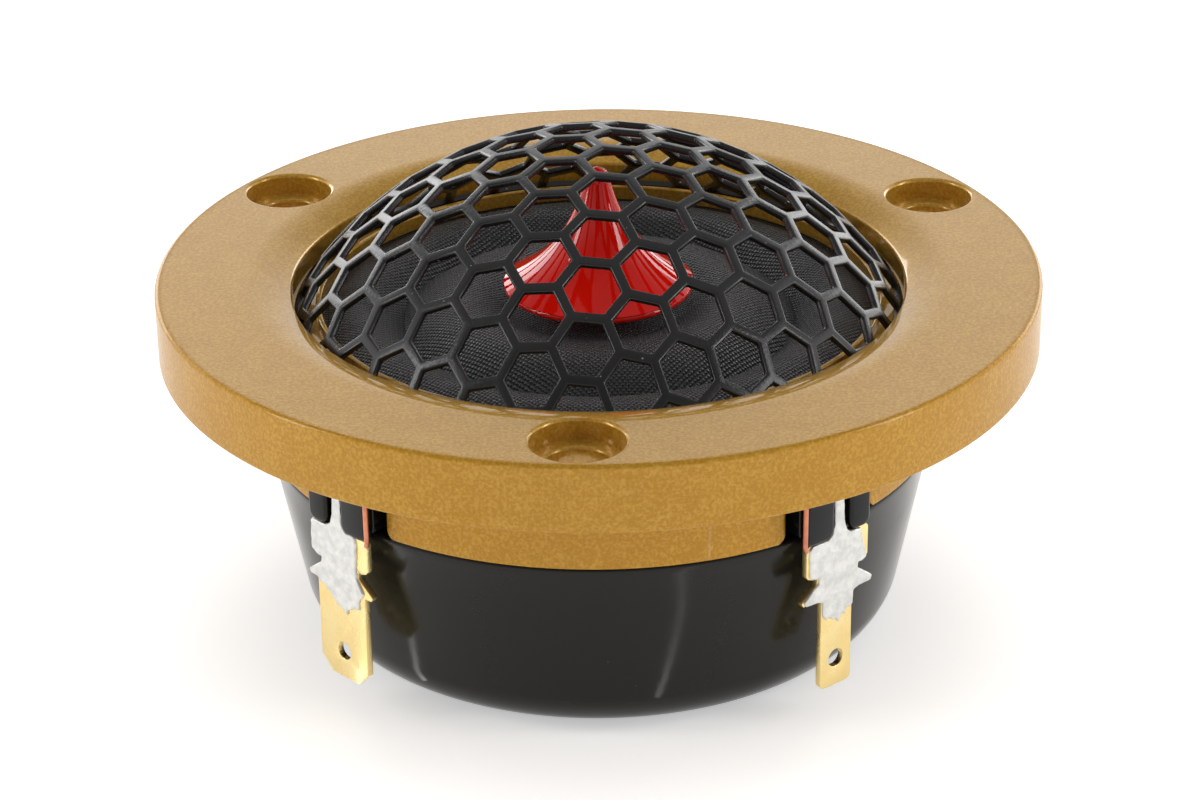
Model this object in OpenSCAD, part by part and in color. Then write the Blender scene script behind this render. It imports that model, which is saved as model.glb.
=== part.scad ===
// Car tweeter: a ring-radiator tweeter with a red phase plug, a domed honeycomb grille,
// a three-hole flange, a neodymium motor and a closed rear chamber with two push-on tabs.
//
// Frame: the origin is the centre of the flange's rear seat, +Z points at the listener,
// and the front mounting hole lies toward -Y. Everything is in millimetres.

/* [Faceplate] */
// Outer diameter of the flange
flange_d = 62; // [61:0.5:66]
// Thickness of the flange
flange_t = 4.8; // [4.6:0.1:5.4]
// Radius of the flange's top edge
edge_r = 0.3; // [0.2:0.05:0.8]
// Diameter where the flat front starts to roll into the opening
roll_d = 49.4; // [48:0.2:50]
// Slope at which the rolled lip meets the opening's wall, in degrees
roll_angle = 28; // [22:1:34]
// Radius between the rolled lip and the opening's wall
corner_r = 0.35; // [0.2:0.05:0.5]
// Diameter of the opening that the grille sits in
opening_d = 43; // [43:0.1:43.6]
// Diameter of the bore that frames the diaphragm
bore_d = 39; // [38.8:0.1:39.4]
// Outer diameter of the spigot ring under the flange
spigot_d = 48; // [48:0.1:48.6]
// Depth of the spigot ring below the seat
spigot_h = 6.4; // [6.2:0.1:7]
// Wall of the spigot ring
spigot_wall = 1.4; // [1.2:0.1:1.5]
// Diameter of the shallow relief beside the spigot ring, inside the flat seat
relief_d = 51.3; // [51.2:0.1:52]

/* [Mounting holes] */
// Diameter of the circle that the screw holes lie on
hole_pcd = 54.5; // [54:0.1:55.5]
// Number of screw holes
hole_count = 3; // [3:1:3]
// Diameter of a screw hole
hole_d = 4.3; // [3.8:0.1:4.5]
// Diameter of the recess for a screw head
counterbore_d = 6.15; // [6:0.05:6.3]
// Depth of the recess for a screw head
counterbore_depth = 1.6; // [1.2:0.1:1.8]

/* [Grille] */
// Outer radius of the grille's sphere
dome_r = 25.74; // [25.6:0.02:25.8]
// Height of the grille's crown above the seat
dome_top = 13.92; // [13.8:0.02:14]
// Thickness of the grille's sheet
dome_t = 0.5; // [0.4:0.05:0.8]
// Distance between neighbouring cells before the sheet is pressed
cell_pitch = 4.36; // [4:0.02:4.6]
// Width of the bars between the cells
bar_w = 0.74; // [0.6:0.02:1]
// Turn of the honeycomb about the dome's axis, in degrees
cell_turn = -4.4; // [-30:0.1:30]
// Radius that describes how far the pressing draws the outer cells in
press_r = 26.3; // [26:0.1:34]

/* [Phase plug] */
// Largest diameter of the plug's skirt
plug_d = 13.3; // [12.6:0.1:13.8]
// Height of the plug's tip above the seat
plug_top = 12.3; // [11:0.1:12.6]
// Height over which the flare shrinks by a factor of e
flare_h = 3.81; // [3.4:0.01:4.2]
// Diameter of the plug's foot on the diaphragm
plug_foot_d = 7; // [6.4:0.1:8]

/* [Motor] */
// Inner diameter of the voice-coil former
former_d = 27.5; // [27.4:0.1:27.6]
// Radial build of the winding
winding_t = 0.35; // [0.25:0.05:0.4]
// Height of the winding
winding_h = 2.4; // [2:0.1:2.6]
// Diameter of the hole in the top plate
gap_d = 29.4; // [29.3:0.1:29.6]
// Thickness of the top plate
plate_t = 3; // [2.6:0.1:3.2]
// Diameter of one magnet slug
slug_d = 5.6; // [5:0.1:5.7]
// Number of magnet slugs
slug_count = 6; // [6:1:6]
// Height of the magnet slugs
slug_h = 5.2; // [5:0.1:5.4]

/* [Rear cup] */
// Outer diameter of the cup just below the spigot ring
cup_d = 47.5; // [47.2:0.1:47.8]
// Height of the cup's flat bottom below the seat
cup_depth = 20.8; // [20.4:0.1:22]
// How much the cup's radius shrinks for each millimetre of depth
cup_taper = 0.2; // [0.16:0.01:0.22]
// Radius around the cup's bottom edge
cup_edge_r = 4; // [3:0.5:5]
// Wall of the cup
cup_wall = 1.4; // [1.2:0.1:1.5]

/* [Terminals] */
// Angle of each terminal from the front mounting hole, in degrees
terminal_angle = 42.7; // [42:0.1:44]
// Width of the positive blade
blade_wide = 4.8; // [4.6:0.1:4.8]
// Width of the negative blade
blade_narrow = 2.8; // [2.6:0.1:2.9]
// Thickness of the blades
blade_t = 0.5; // [0.4:0.05:0.5]
// Diameter of the hole in each blade
blade_hole_d = 1.3; // [1:0.1:1.5]
// Depth of the blade tips below the seat
blade_tip = 18.15; // [17.5:0.05:18.6]
// Diameter of the lead wires
lead_d = 0.35; // [0.25:0.05:0.35]

/* [Hidden] */
$fn = 96;
gap = 0.02;             // room between pieces that are glued or pressed together
through = 1;            // how far a cutting tool runs past what it cuts

// Faceplate
lip_under = 1.75;       // underside of the lip that clamps the diaphragm
lip_floor = 2.4;        // floor that the grille stands on
lip_ring = 2.9;         // top of the thin ring between grille and diaphragm
lip_ring_w = 0.4;
recess_r = 21;          // recess for the diaphragm's frame
spigot_in = spigot_d / 2 - spigot_wall;
relief_t = 0.2;         // depth of the relief
notch_half = 3.88;      // half the width of a terminal notch
notch_round = 0.8;      // radius at the notch's lower corners
counterbore_round = 0.27;
hole_round = 0.3;
opening_r = opening_d / 2;
roll_r = (roll_d / 2 - opening_r - corner_r * (1 - sin(roll_angle))) / sin(roll_angle);

// Grille
dome_z = dome_top - dome_r;
cell_offset = [1.38, -2.14];
cell_reach = 8;         // cells counted each way from the middle
rim_h = 0.4;            // height of the plain rim at the grille's foot
rim_reach = 1.05;       // cells are cut out to this multiple of press_r on the flat sheet

// Phase plug
skirt_z = 3.8;          // height of the skirt's widest point
skirt_round = 0.25;
tip_r = 0.8;            // radius of the blunt tip
stud_r = 1.25;
stud_low = -5;
stud_high = 6;

// Diaphragm, as a top surface with a constant thickness below it
cloth_t = 0.25;
cloth_hole_r = 2;
cloth_inner_r = 6.3;    // the inner roll starts here
cloth_inner_z = 2.1;
groove_r = 13.83;       // the coil hangs from this groove
groove_z = 1;
cloth_outer_r = 19.2;   // the outer roll ends here
cloth_rim_r = 20.8;
inner_rise = 1.35;
outer_rise = 1.1;
roll_steps = 14;

// Motor
plate_top = -1.2;
plate_low = plate_top - plate_t;
yoke_top = plate_low - slug_h;
yoke_t = 3;
yoke_low = yoke_top - yoke_t;
plate_r = 20.9;
yoke_r = 20.4;
pole_r = 13.05;
pole_top = -0.4;
pole_bore_r = 6;
pole_roof = -5.4;       // roof of the bore in the back of the pole
former_r = former_d / 2;
former_t = 0.15;
former_low = -4.3;
winding_mid = -2.7;
slug_circle_r = 17.75;
locator_low = -7.4;
locator_t = 1.2;

// Rear cup
neck_r = 22.4;
neck_in = 21.05;
neck_top = -0.6;
shoulder_z = -spigot_h - gap;
floor_t = 1.6;
cup_r = cup_d / 2;

// Terminals, drawn at the front and then turned to their places
blade_y = 24.2;         // distance of a blade's inner face from the axis
holder_half = 3.1;
holder_in = 22.75;
holder_out = 25;
holder_low = -6.6;
holder_round = 0.7;
slot_half = 0.55;
neck_half = 0.5;
tab_top = -0.9;
shoulder_low = -6.65;
solder_t = 0.4;
lead_x = 3.3;
lead_sides = 8;

// Points along an arc from angle a to angle b in n steps
function arc(centre, r, a, b, n = 6) =
    [for (i = [0:n]) centre + r * [cos(a + (b - a) * i / n), sin(a + (b - a) * i / n)]];

// Height of the diaphragm's top surface at radius r
function roll_z(r, r0, z0, r1, z1, rise) =
    let (t = (r - r0) / (r1 - r0)) z0 + (z1 - z0) * t + rise * sin(180 * t);
cloth_top = concat(
    [[cloth_hole_r, cloth_inner_z]],
    [for (i = [0:roll_steps])
        let (r = cloth_inner_r + (groove_r - cloth_inner_r) * i / roll_steps)
        [r, roll_z(r, cloth_inner_r, cloth_inner_z, groove_r, groove_z, inner_rise)]],
    [for (i = [1:roll_steps])
        let (r = groove_r + (cloth_outer_r - groove_r) * i / roll_steps)
        [r, roll_z(r, groove_r, groove_z, cloth_outer_r, lip_under, outer_rise)]],
    [[cloth_rim_r, lip_under]]);

// Where pressing the flat sheet into a dome moves a point
function pressed(p) =
    let (r = norm(p)) r < 0.001 ? p : p * press_r * sin(r / press_r * 180 / PI) / r;

// Centre of the honeycomb's cell in column i and row j, on the flat sheet
function cell_centre(i, j) =
    let (x = cell_pitch * sqrt(3) / 2 * i, y = cell_pitch * (j + i / 2))
    cell_offset + [x * cos(cell_turn) - y * sin(cell_turn), x * sin(cell_turn) + y * cos(cell_turn)];

// Route of a lead wire from the coil to its terminal, for a terminal at the front
function lead_route(s) = [
    [s * lead_x, -13.75, -1.1], [s * lead_x, -13.8, -0.4], [s * lead_x, -14.1, 0.2],
    [s * lead_x, -14.8, 0.5], [s * lead_x, -15.9, 0.5], [s * lead_x, -17.2, 0.2],
    [s * lead_x, -18.4, -0.15], [s * lead_x, -19.4, -0.31], [s * lead_x, -20.6, -0.33],
    [s * lead_x, -22.6, -0.33], [s * lead_x, -24.2, -0.33], [s * lead_x, -24.75, -0.45],
    [s * lead_x, -25, -0.8], [s * lead_x, -25.05, -1.4], [s * lead_x, -25.05, -4],
    [s * lead_x, -25.03, -6], [s * (lead_x - 0.08), -24.95, -6.4], [s * (lead_x - 0.32), -24.8, -6.8]];

// A round tube along a list of points, as one polyhedron
module tube(points, r, sides) {
    last = len(points) - 1;
    // Direction of travel at each point
    ahead = [for (i = [0:last])
        let (d = points[min(i + 1, last)] - points[max(i - 1, 0)]) d / norm(d)];
    across = [1, 0, 0];
    rings = [for (i = [0:last])
        let (u = cross(ahead[i], across) / norm(cross(ahead[i], across)), v = cross(ahead[i], u))
        [for (k = [0:sides - 1])
            points[i] + r * (u * cos(360 * k / sides) + v * sin(360 * k / sides))]];
    sides_faces = [for (i = [0:last - 1]) for (k = [0:sides - 1])
        let (a = i * sides + k, b = i * sides + (k + 1) % sides)
        [a, a + sides, b + sides, b]];
    start_face = [for (k = [0:sides - 1]) k];
    end_face = [for (k = [sides - 1:-1:0]) last * sides + k];
    polyhedron([for (ring = rings) each ring], concat([start_face], [end_face], sides_faces));
}

// Puts its children, drawn at the front, at a terminal's place: -1 is positive, 1 is negative
module at_terminal(side) {
    rotate([0, 0, side * terminal_angle]) children();
}

// Stands an outline in x and z upright, with its inner face at distance y from the axis
module upright(y, t) {
    translate([0, -y, 0]) rotate([90, 0, 0]) linear_extrude(t) children();
}

// Tool for one screw hole: a plain bore, a recess for the head, and rounded edges
module screw_hole_tool() {
    cylinder(r = hole_d / 2, h = 2 * flange_t, center = true);
    recess_z = flange_t - counterbore_depth;
    head_r = counterbore_d / 2;
    rotate_extrude() polygon(concat(
        [[0, flange_t + through], [0, recess_z - hole_round]],
        arc([hole_d / 2 + hole_round, recess_z - hole_round], hole_round, 180, 90),
        [[head_r, recess_z]],
        arc([head_r + counterbore_round, flange_t - counterbore_round], counterbore_round, 180, 90),
        [[head_r + counterbore_round, flange_t + through]]));
}

// Tool for one notch in the spigot ring, wider at its mouth
module notch_tool() {
    low = -spigot_h;
    half = concat(
        [[notch_half, relief_t], [notch_half, low + notch_round]],
        arc([notch_half + notch_round, low + notch_round], notch_round, 180, 270),
        [[notch_half + notch_round, low - through]]);
    mirrored = [for (i = [len(half) - 1:-1:0]) [-half[i][0], half[i][1]]];
    intersection() {
        upright(spigot_in - 2, spigot_wall + 4) polygon(concat(half, mirrored));
        translate([0, 0, low - through]) cylinder(r = flange_d, h = relief_t - low + through);
    }
}

module faceplate() {
    roll_end = roll_angle + 90;
    roll_centre = [roll_d / 2, flange_t - roll_r];
    roll_tip = roll_centre + roll_r * [cos(roll_end), sin(roll_end)];
    corner = roll_tip - corner_r * [cos(roll_end), sin(roll_end)];
    outline = concat(
        [[bore_d / 2, lip_under], [bore_d / 2, lip_ring], [bore_d / 2 + lip_ring_w, lip_ring],
            [bore_d / 2 + lip_ring_w, lip_floor], [opening_r, lip_floor]],
        arc(corner, corner_r, 180, roll_end),
        arc(roll_centre, roll_r, roll_end, 90, 8),
        arc([flange_d / 2 - edge_r, flange_t - edge_r], edge_r, 90, 0),
        [[flange_d / 2, 0], [relief_d / 2, 0], [relief_d / 2, relief_t], [spigot_d / 2, relief_t],
            [spigot_d / 2, -spigot_h], [spigot_in, -spigot_h], [spigot_in, relief_t],
            [recess_r, relief_t], [recess_r, lip_under]]);
    color("#b08a4e") difference() {
        rotate_extrude() polygon(outline);
        for (i = [0:hole_count - 1])
            rotate([0, 0, i * 360 / hole_count]) translate([0, -hole_pcd / 2, 0]) screw_hole_tool();
        for (side = [-1, 1]) at_terminal(side) notch_tool();
    }
}

module grille() {
    skin = dome_r - dome_t;
    low = asin((lip_floor - dome_z) / dome_r);
    low_in = asin((lip_floor - dome_z) / skin);
    centre = [0, dome_z];
    color("#1c1c1e") difference() {
        rotate_extrude()
            polygon(concat(arc(centre, dome_r, low, 90, 20), arc(centre, skin, 90, low_in, 20)));
        for (i = [-cell_reach:cell_reach]) for (j = [-cell_reach - 4:cell_reach + 4]) {
            c = cell_centre(i, j);
            cell_r = (cell_pitch - bar_w) / sqrt(3);
            outline = [for (k = [0:5])
                pressed(c + cell_r * [cos(cell_turn + 60 * k), sin(cell_turn + 60 * k)])];
            if (norm(c) < press_r * rim_reach)
                translate([0, 0, lip_floor + rim_h]) linear_extrude(dome_top) polygon(outline);
        }
    }
}

module phase_plug() {
    skirt_r = plug_d / 2;
    flare_end = plug_top - tip_r;
    flare = [for (i = [0:16])
        let (z = skirt_z + (flare_end - skirt_z) * i / 16)
        [skirt_r * exp(-(z - skirt_z) / flare_h), z]];
    blunt = skirt_r * exp(-(flare_end - skirt_z) / flare_h);
    tip = [for (a = [15:15:90]) [blunt * cos(a), flare_end + tip_r * sin(a)]];
    skirt = arc([skirt_r - skirt_round, skirt_z - skirt_round], skirt_round, -90, 60);
    color("#b5090f") difference() {
        rotate_extrude() polygon(concat(
            [[0, cloth_inner_z], [plug_foot_d / 2, cloth_inner_z], [plug_foot_d / 2, skirt_z - 0.7]],
            skirt, flare, tip));
        translate([0, 0, cloth_inner_z - through])
            cylinder(r = stud_r, h = stud_high - cloth_inner_z + through);
    }
}

module plug_stud() {
    color("#c9a24a") translate([0, 0, stud_low])
        cylinder(r = stud_r - gap / 2, h = stud_high - stud_low - gap);
}

module diaphragm() {
    underside = [for (i = [len(cloth_top) - 1:-1:0]) cloth_top[i] - [0, cloth_t]];
    color("#26272b") rotate_extrude() polygon(concat(cloth_top, underside));
}

module diaphragm_frame() {
    high = lip_under - cloth_t;
    color("#1b1b1d") difference() {
        rotate_extrude() polygon([[cloth_outer_r + 0.2, high], [cloth_rim_r, high],
            [cloth_rim_r, plate_top], [cloth_outer_r + 0.2, plate_top]]);
        for (side = [-1, 1]) at_terminal(side)
            translate([-side * lead_x, -20, -0.8]) cube([0.6, 4, 1.8], center = true);
    }
}

module inner_clamp() {
    color("#2a2a2c") rotate_extrude() polygon([[stud_r + gap, pole_top], [cloth_inner_r, pole_top],
        [cloth_inner_r - 0.2, cloth_inner_z - cloth_t], [stud_r + gap, cloth_inner_z - cloth_t]]);
}

module coil_former() {
    high = groove_z - cloth_t - gap;
    color("#c58b3a") rotate_extrude() polygon([[former_r, former_low], [former_r + former_t, former_low],
        [former_r + former_t, high], [former_r, high]]);
}

module coil_winding() {
    inner = former_r + former_t + gap / 2;
    turns = 8;
    // Each turn shows as one rounded step on the winding's outside
    turn_h = winding_h / turns;
    low = winding_mid - winding_h / 2;
    wire_r = turn_h / 2;
    outside = [for (i = [0:turns - 1])
        each arc([inner + winding_t - wire_r, low + (i + 0.5) * turn_h], wire_r, -80, 80, 4)];
    color("#b5652b") rotate_extrude() polygon(concat([[inner, low]], outside, [[inner, low + winding_h]]));
}

module lead_wire(side) {
    color("#c9704a") at_terminal(side) tube(lead_route(-side), lead_d / 2, lead_sides);
}

// Right half of a terminal's outline, from the buried top down to the tip
function terminal_half(half, chamfer) = [
    [neck_half, tab_top], [neck_half, shoulder_low], [2.8, shoulder_low], [2.8, -9.05],
    [2.1, -9.35], [1.75, -9.15], [1.85, -9.75], [3.2, -10.75], [3.05, -11.1],
    [half, -11.1], [half, -blade_tip + chamfer], [half - chamfer, -blade_tip]];

module terminal(side, width, chamfer) {
    right = terminal_half(width / 2, chamfer);
    left = [for (i = [len(right) - 1:-1:0]) [-right[i][0], right[i][1]]];
    color("#d9b24c") at_terminal(side) difference() {
        upright(blade_y, blade_t) polygon(concat(right, left));
        translate([0, -blade_y - blade_t / 2, -blade_tip + 2.1]) rotate([90, 0, 0])
            cylinder(r = blade_hole_d / 2, h = 4 * blade_t, center = true);
    }
}

module solder(side, drop) {
    color("#c8c8c4") at_terminal(side) upright(blade_y + blade_t, solder_t) mirror([side > 0 ? 1 : 0, 0])
        polygon([[-0.45, tab_top], [0.45, tab_top], [0.5, holder_low - gap], [1.3, -6.9], [1.9, -8.2],
            [1.9, -9.3], [2.1, -10.2], [1.7, -drop + 0.6], [0.9, -drop], [0.1, -drop + 0.5],
            [-0.9, -drop + 0.9], [-2.1, -11.6], [-2.6, -10.6], [-1.8, -9.7], [-1.9, -9.2],
            [-2.5, -8.7], [-2.4, -7], [-1.4, -6.75], [-0.5, holder_low - gap]]);
}

module terminal_holder(side) {
    low_corner = arc([holder_half - holder_round, holder_low + holder_round], holder_round, 0, -90);
    ledge = shoulder_z + 0.1;
    color("#161618") at_terminal(side) difference() {
        upright(holder_in, holder_out - holder_in)
            polygon(concat([[-holder_half, relief_t - gap], [holder_half, relief_t - gap]], low_corner,
                [for (p = [len(low_corner) - 1:-1:0]) [-low_corner[p][0], low_corner[p][1]]]));
        // Slot for the terminal's neck, open to the outside
        translate([0, -blade_y + gap - 1, (tab_top + holder_low) / 2 - through / 2])
            cube([2 * slot_half, 2, tab_top - holder_low + through], center = true);
        // Room for the rear cup's shoulder
        translate([-holder_half - through, -cup_r - 0.15, holder_low - through])
            cube([2 * (holder_half + through), 4, ledge - holder_low + through]);
    }
}

module top_plate() {
    color("#8f9195") rotate_extrude() polygon([[gap_d / 2, plate_low], [plate_r, plate_low],
        [plate_r, plate_top - gap], [gap_d / 2, plate_top - gap]]);
}

module slug_places() {
    for (i = [0:slug_count - 1])
        rotate([0, 0, i * 360 / slug_count]) translate([0, -slug_circle_r, 0]) children();
}

module magnet_slugs() {
    color("#b9bcc2") slug_places() translate([0, 0, yoke_top]) cylinder(r = slug_d / 2, h = slug_h);
}

module magnet_locator() {
    color("#e8e4d8") difference() {
        translate([0, 0, locator_low]) cylinder(r = recess_r, h = locator_t);
        translate([0, 0, locator_low - through])
            cylinder(r = former_r + former_t, h = locator_t + 2 * through);
        slug_places() translate([0, 0, locator_low - through])
            cylinder(r = slug_d / 2 + gap, h = locator_t + 2 * through);
    }
}

module yoke() {
    color("#8f9195") difference() {
        rotate_extrude() polygon([[stud_r, yoke_low], [yoke_r, yoke_low], [yoke_r, yoke_top],
            [pole_r, yoke_top], [pole_r, pole_top - gap], [stud_r, pole_top - gap]]);
        translate([0, 0, yoke_low - through]) cylinder(r = pole_bore_r, h = pole_roof - yoke_low + through);
    }
}

module copper_ring() {
    color("#b8693c") rotate_extrude() polygon([[pole_r + gap, -4.6], [pole_r + 0.3, -4.6],
        [pole_r + 0.3, -0.9], [pole_r + gap, -0.9]]);
}

module pole_damping() {
    color("#4a4a4c") translate([0, 0, yoke_low])
        cylinder(r = pole_bore_r - 0.1, h = pole_roof - yoke_low - 0.3);
}

module rear_cup() {
    slope = sqrt(1 + cup_taper * cup_taper);
    // Radius of the tapered outside, t inside it, at height z
    function cone(z, t) = cup_r + cup_taper * (z - shoulder_z) - t * slope;
    edge_z = -cup_depth + cup_edge_r;
    edge = [cone(edge_z, cup_edge_r), edge_z];
    inner_edge_r = cup_edge_r - cup_wall;
    inner_floor = -cup_depth + floor_t;
    inner_edge = [cone(inner_floor + inner_edge_r, cup_edge_r), inner_floor + inner_edge_r];
    tilt = -atan(cup_taper);
    neck_end = shoulder_z - 1.6;
    color("#141416") rotate_extrude() polygon(concat(
        [[neck_in, neck_top], [neck_r, neck_top], [neck_r, shoulder_z]],
        arc([cup_r - 0.3, shoulder_z - 0.3], 0.3, 90, tilt, 4),
        arc(edge, cup_edge_r, tilt, -90, 10),
        [[0, -cup_depth], [0, inner_floor]],
        arc(inner_edge, inner_edge_r, -90, tilt, 6),
        [[cone(neck_end, cup_wall), neck_end], [neck_in, neck_end + 0.8]]));
}

module chamber_felt() {
    low = -cup_depth + floor_t + gap;
    color("#5b5b5e") translate([0, 0, low]) cylinder(r = 17, h = 3);
}

faceplate();
grille();
phase_plug();
plug_stud();
diaphragm();
diaphragm_frame();
inner_clamp();
coil_former();
coil_winding();
lead_wire(-1);  // lead_wire_positive
lead_wire(1);  // lead_wire_negative
terminal(-1, blade_wide, 1.05);  // terminal_positive
terminal(1, blade_narrow, 0.45);  // terminal_negative
solder(-1, 12.7);  // solder_positive
solder(1, 13.3);  // solder_negative
terminal_holder(-1);  // terminal_holder_positive
terminal_holder(1);  // terminal_holder_negative
top_plate();
magnet_slugs();
magnet_locator();
yoke();
copper_ring();
pole_damping();
rear_cup();
chamber_felt();
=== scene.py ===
"""A ring-radiator car tweeter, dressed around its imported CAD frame.

Sizes in the classes are millimetres in the frame's axes: the origin is the centre of the
flange's rear seat, +Z points at the listener and -Y at the front mounting hole. Meshes are
built in millimetres and brought to metres as they become pieces.
"""

import logging
import math
from collections.abc import Callable, Sequence
from dataclasses import dataclass
from enum import Enum
from typing import ClassVar

import bmesh
import bpy
from mathutils import Matrix, Vector, noise


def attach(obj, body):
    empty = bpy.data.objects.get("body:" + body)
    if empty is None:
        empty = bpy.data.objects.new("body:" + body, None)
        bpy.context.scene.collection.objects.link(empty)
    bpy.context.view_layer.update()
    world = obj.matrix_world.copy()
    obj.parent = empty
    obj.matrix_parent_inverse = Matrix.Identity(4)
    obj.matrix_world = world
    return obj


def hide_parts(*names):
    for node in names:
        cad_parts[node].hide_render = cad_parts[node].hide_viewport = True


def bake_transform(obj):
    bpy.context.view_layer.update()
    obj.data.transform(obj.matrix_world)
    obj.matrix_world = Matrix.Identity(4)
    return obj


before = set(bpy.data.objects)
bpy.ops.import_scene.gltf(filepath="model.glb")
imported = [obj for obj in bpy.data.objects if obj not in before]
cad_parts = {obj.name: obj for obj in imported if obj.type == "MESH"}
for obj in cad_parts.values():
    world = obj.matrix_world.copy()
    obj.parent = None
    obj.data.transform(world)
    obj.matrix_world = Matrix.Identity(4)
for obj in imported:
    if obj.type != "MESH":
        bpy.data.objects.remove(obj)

MM = 0.001
FELT_NAP = 0.12
LOG = logging.getLogger("tweeter")

Point = tuple[float, float]
Colour = tuple[float, float, float, float]
Socket = bpy.types.NodeSocket


class Side(Enum):
    """Which of the two terminals a piece belongs to; the value is the sign of its turn."""

    POSITIVE = -1
    NEGATIVE = 1

    @property
    def word(self) -> str:
        """The side's name as the CAD nodes spell it."""
        return self.name.lower()


class Turned(Enum):
    """How tool marks run on a metal part."""

    RINGS = "rings"
    SPECKS = "specks"


# ---------------------------------------------------------------- node trees


class Nodes:
    """Adds and links nodes in one tree, for shaders and for geometry alike."""

    def __init__(self, tree: bpy.types.NodeTree) -> None:
        """Keeps the tree that nodes are added to.

        Args:
            tree: a material's, group's or modifier's node tree.
        """
        self.tree = tree

    def add(self, kind: str, inputs: dict | None = None, **settings: object) -> bpy.types.Node:
        """Adds one node.

        Args:
            kind: the node's type name.
            inputs: values or sockets to link, by input name or index.
            settings: the node's own properties.

        Returns:
            The new node.
        """
        node = self.tree.nodes.new(kind)
        for key, value in settings.items():
            setattr(node, key, value)
        for key, value in (inputs or {}).items():
            if isinstance(value, Socket):
                self.tree.links.new(value, node.inputs[key])
            else:
                node.inputs[key].default_value = value
        return node

    def math(self, operation: str, *values: float | Socket) -> Socket:
        """Adds a math node and returns its result.

        Args:
            operation: the math node's operation.
            values: up to three numbers or sockets.

        Returns:
            The result's socket.
        """
        return self.add("ShaderNodeMath", dict(enumerate(values)), operation=operation).outputs[0]

    def raised(self, base: float | Socket, mask: Socket, by: float) -> Socket:
        """Raises a value where a mask is strong.

        Args:
            base: the value without the mask.
            mask: the mask, from 0 to 1.
            by: how much a full mask adds.

        Returns:
            The raised value's socket.
        """
        return self.math("MULTIPLY_ADD", mask, by, base)

    def ramp(
        self, value: Socket, low: float, high: float, to_low: float = 0.0, to_high: float = 1.0,
    ) -> Socket:
        """Maps a value smoothly from one range to another.

        Args:
            value: the value.
            low: the value that becomes to_low.
            high: the value that becomes to_high.
            to_low: the result at low.
            to_high: the result at high.

        Returns:
            The mapped value's socket.
        """
        inputs = {"Value": value, "From Min": low, "From Max": high, "To Min": to_low, "To Max": to_high}
        return self.add("ShaderNodeMapRange", inputs, interpolation_type="SMOOTHSTEP").outputs[0]

    def blend(self, share: Socket, first: Colour | Socket, second: Colour | Socket) -> Socket:
        """Mixes two colours.

        Args:
            share: the second colour's share.
            first: the first colour.
            second: the second colour.

        Returns:
            The mixed colour's socket.
        """
        return self.add("ShaderNodeMix", {0: share, 6: first, 7: second}, data_type="RGBA").outputs[2]

    def noise(self, at: Socket, scale: float | Socket, detail: float = 2.0, rough: float = 0.5) -> Socket:
        """Adds a noise pattern and returns its value.

        Args:
            at: the coordinates.
            scale: the pattern's scale.
            detail: the octaves.
            rough: how strong the finer octaves are.

        Returns:
            The noise value's socket.
        """
        inputs = {"Vector": at, "Scale": scale, "Detail": detail, "Roughness": rough}
        return self.add("ShaderNodeTexNoise", inputs).outputs["Fac"]


def new_group(
    name: str, takes: dict[str, tuple[str, float | None]], gives: dict[str, str], kind: str,
) -> tuple[Nodes, dict, dict]:
    """Starts a node group with named sockets.

    Args:
        name: the group's name.
        takes: input name to (socket type, default value or None).
        gives: output name to socket type.
        kind: the tree's type.

    Returns:
        The group's nodes, its inputs' sockets by name, and its outputs' sockets by name.
    """
    tree = bpy.data.node_groups.new(name, kind)
    for label, (socket_type, value) in takes.items():
        socket = tree.interface.new_socket(label, in_out="INPUT", socket_type=socket_type)
        if value is not None:
            socket.default_value = value
    for label, socket_type in gives.items():
        tree.interface.new_socket(label, in_out="OUTPUT", socket_type=socket_type)
    nodes = Nodes(tree)
    source, target = nodes.add("NodeGroupInput"), nodes.add("NodeGroupOutput")
    return nodes, {s.name: s for s in source.outputs}, {s.name: s for s in target.inputs}


FLOAT, VECTOR = "NodeSocketFloat", "NodeSocketVector"
GIVES_MESH = {"Mesh": "NodeSocketGeometry"}


def end_tree(nodes: Nodes, mesh: Socket, given: dict[str, Socket], out: dict[str, Socket]) -> None:
    """Ends a geometry tree: its mesh is made real and takes the material.

    Args:
        nodes: the tree's nodes.
        mesh: the geometry so far.
        given: the tree's inputs by name.
        out: the tree's outputs by name.
    """
    whole = nodes.add("GeometryNodeRealizeInstances", {"Geometry": mesh})
    dressed = nodes.add("GeometryNodeSetMaterial", {
        "Geometry": whole.outputs[0], "Material": given["Material"]})
    nodes.tree.links.new(dressed.outputs[0], out["Mesh"])


def grain_group() -> bpy.types.NodeTree:
    """Fine cast, moulded or sprayed grain.

    Returns:
        A group that puts out the grain's height and a broader, cloudy mask.
    """
    nodes, takes, gives = new_group(
        "fine grain",
        {"Vector": (VECTOR, None), "Grain": (FLOAT, 5000.0), "Cloud": (FLOAT, 300.0)},
        {"Height": FLOAT, "Cloud": FLOAT},
        "ShaderNodeTree",
    )
    fine = nodes.noise(takes["Vector"], takes["Grain"], 3.0, 0.6)
    cloud = nodes.noise(takes["Vector"], takes["Cloud"], 4.0, 0.55)
    nodes.tree.links.new(fine, gives["Height"])
    nodes.tree.links.new(nodes.ramp(cloud, 0.3, 0.7), gives["Cloud"])
    return nodes.tree


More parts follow.
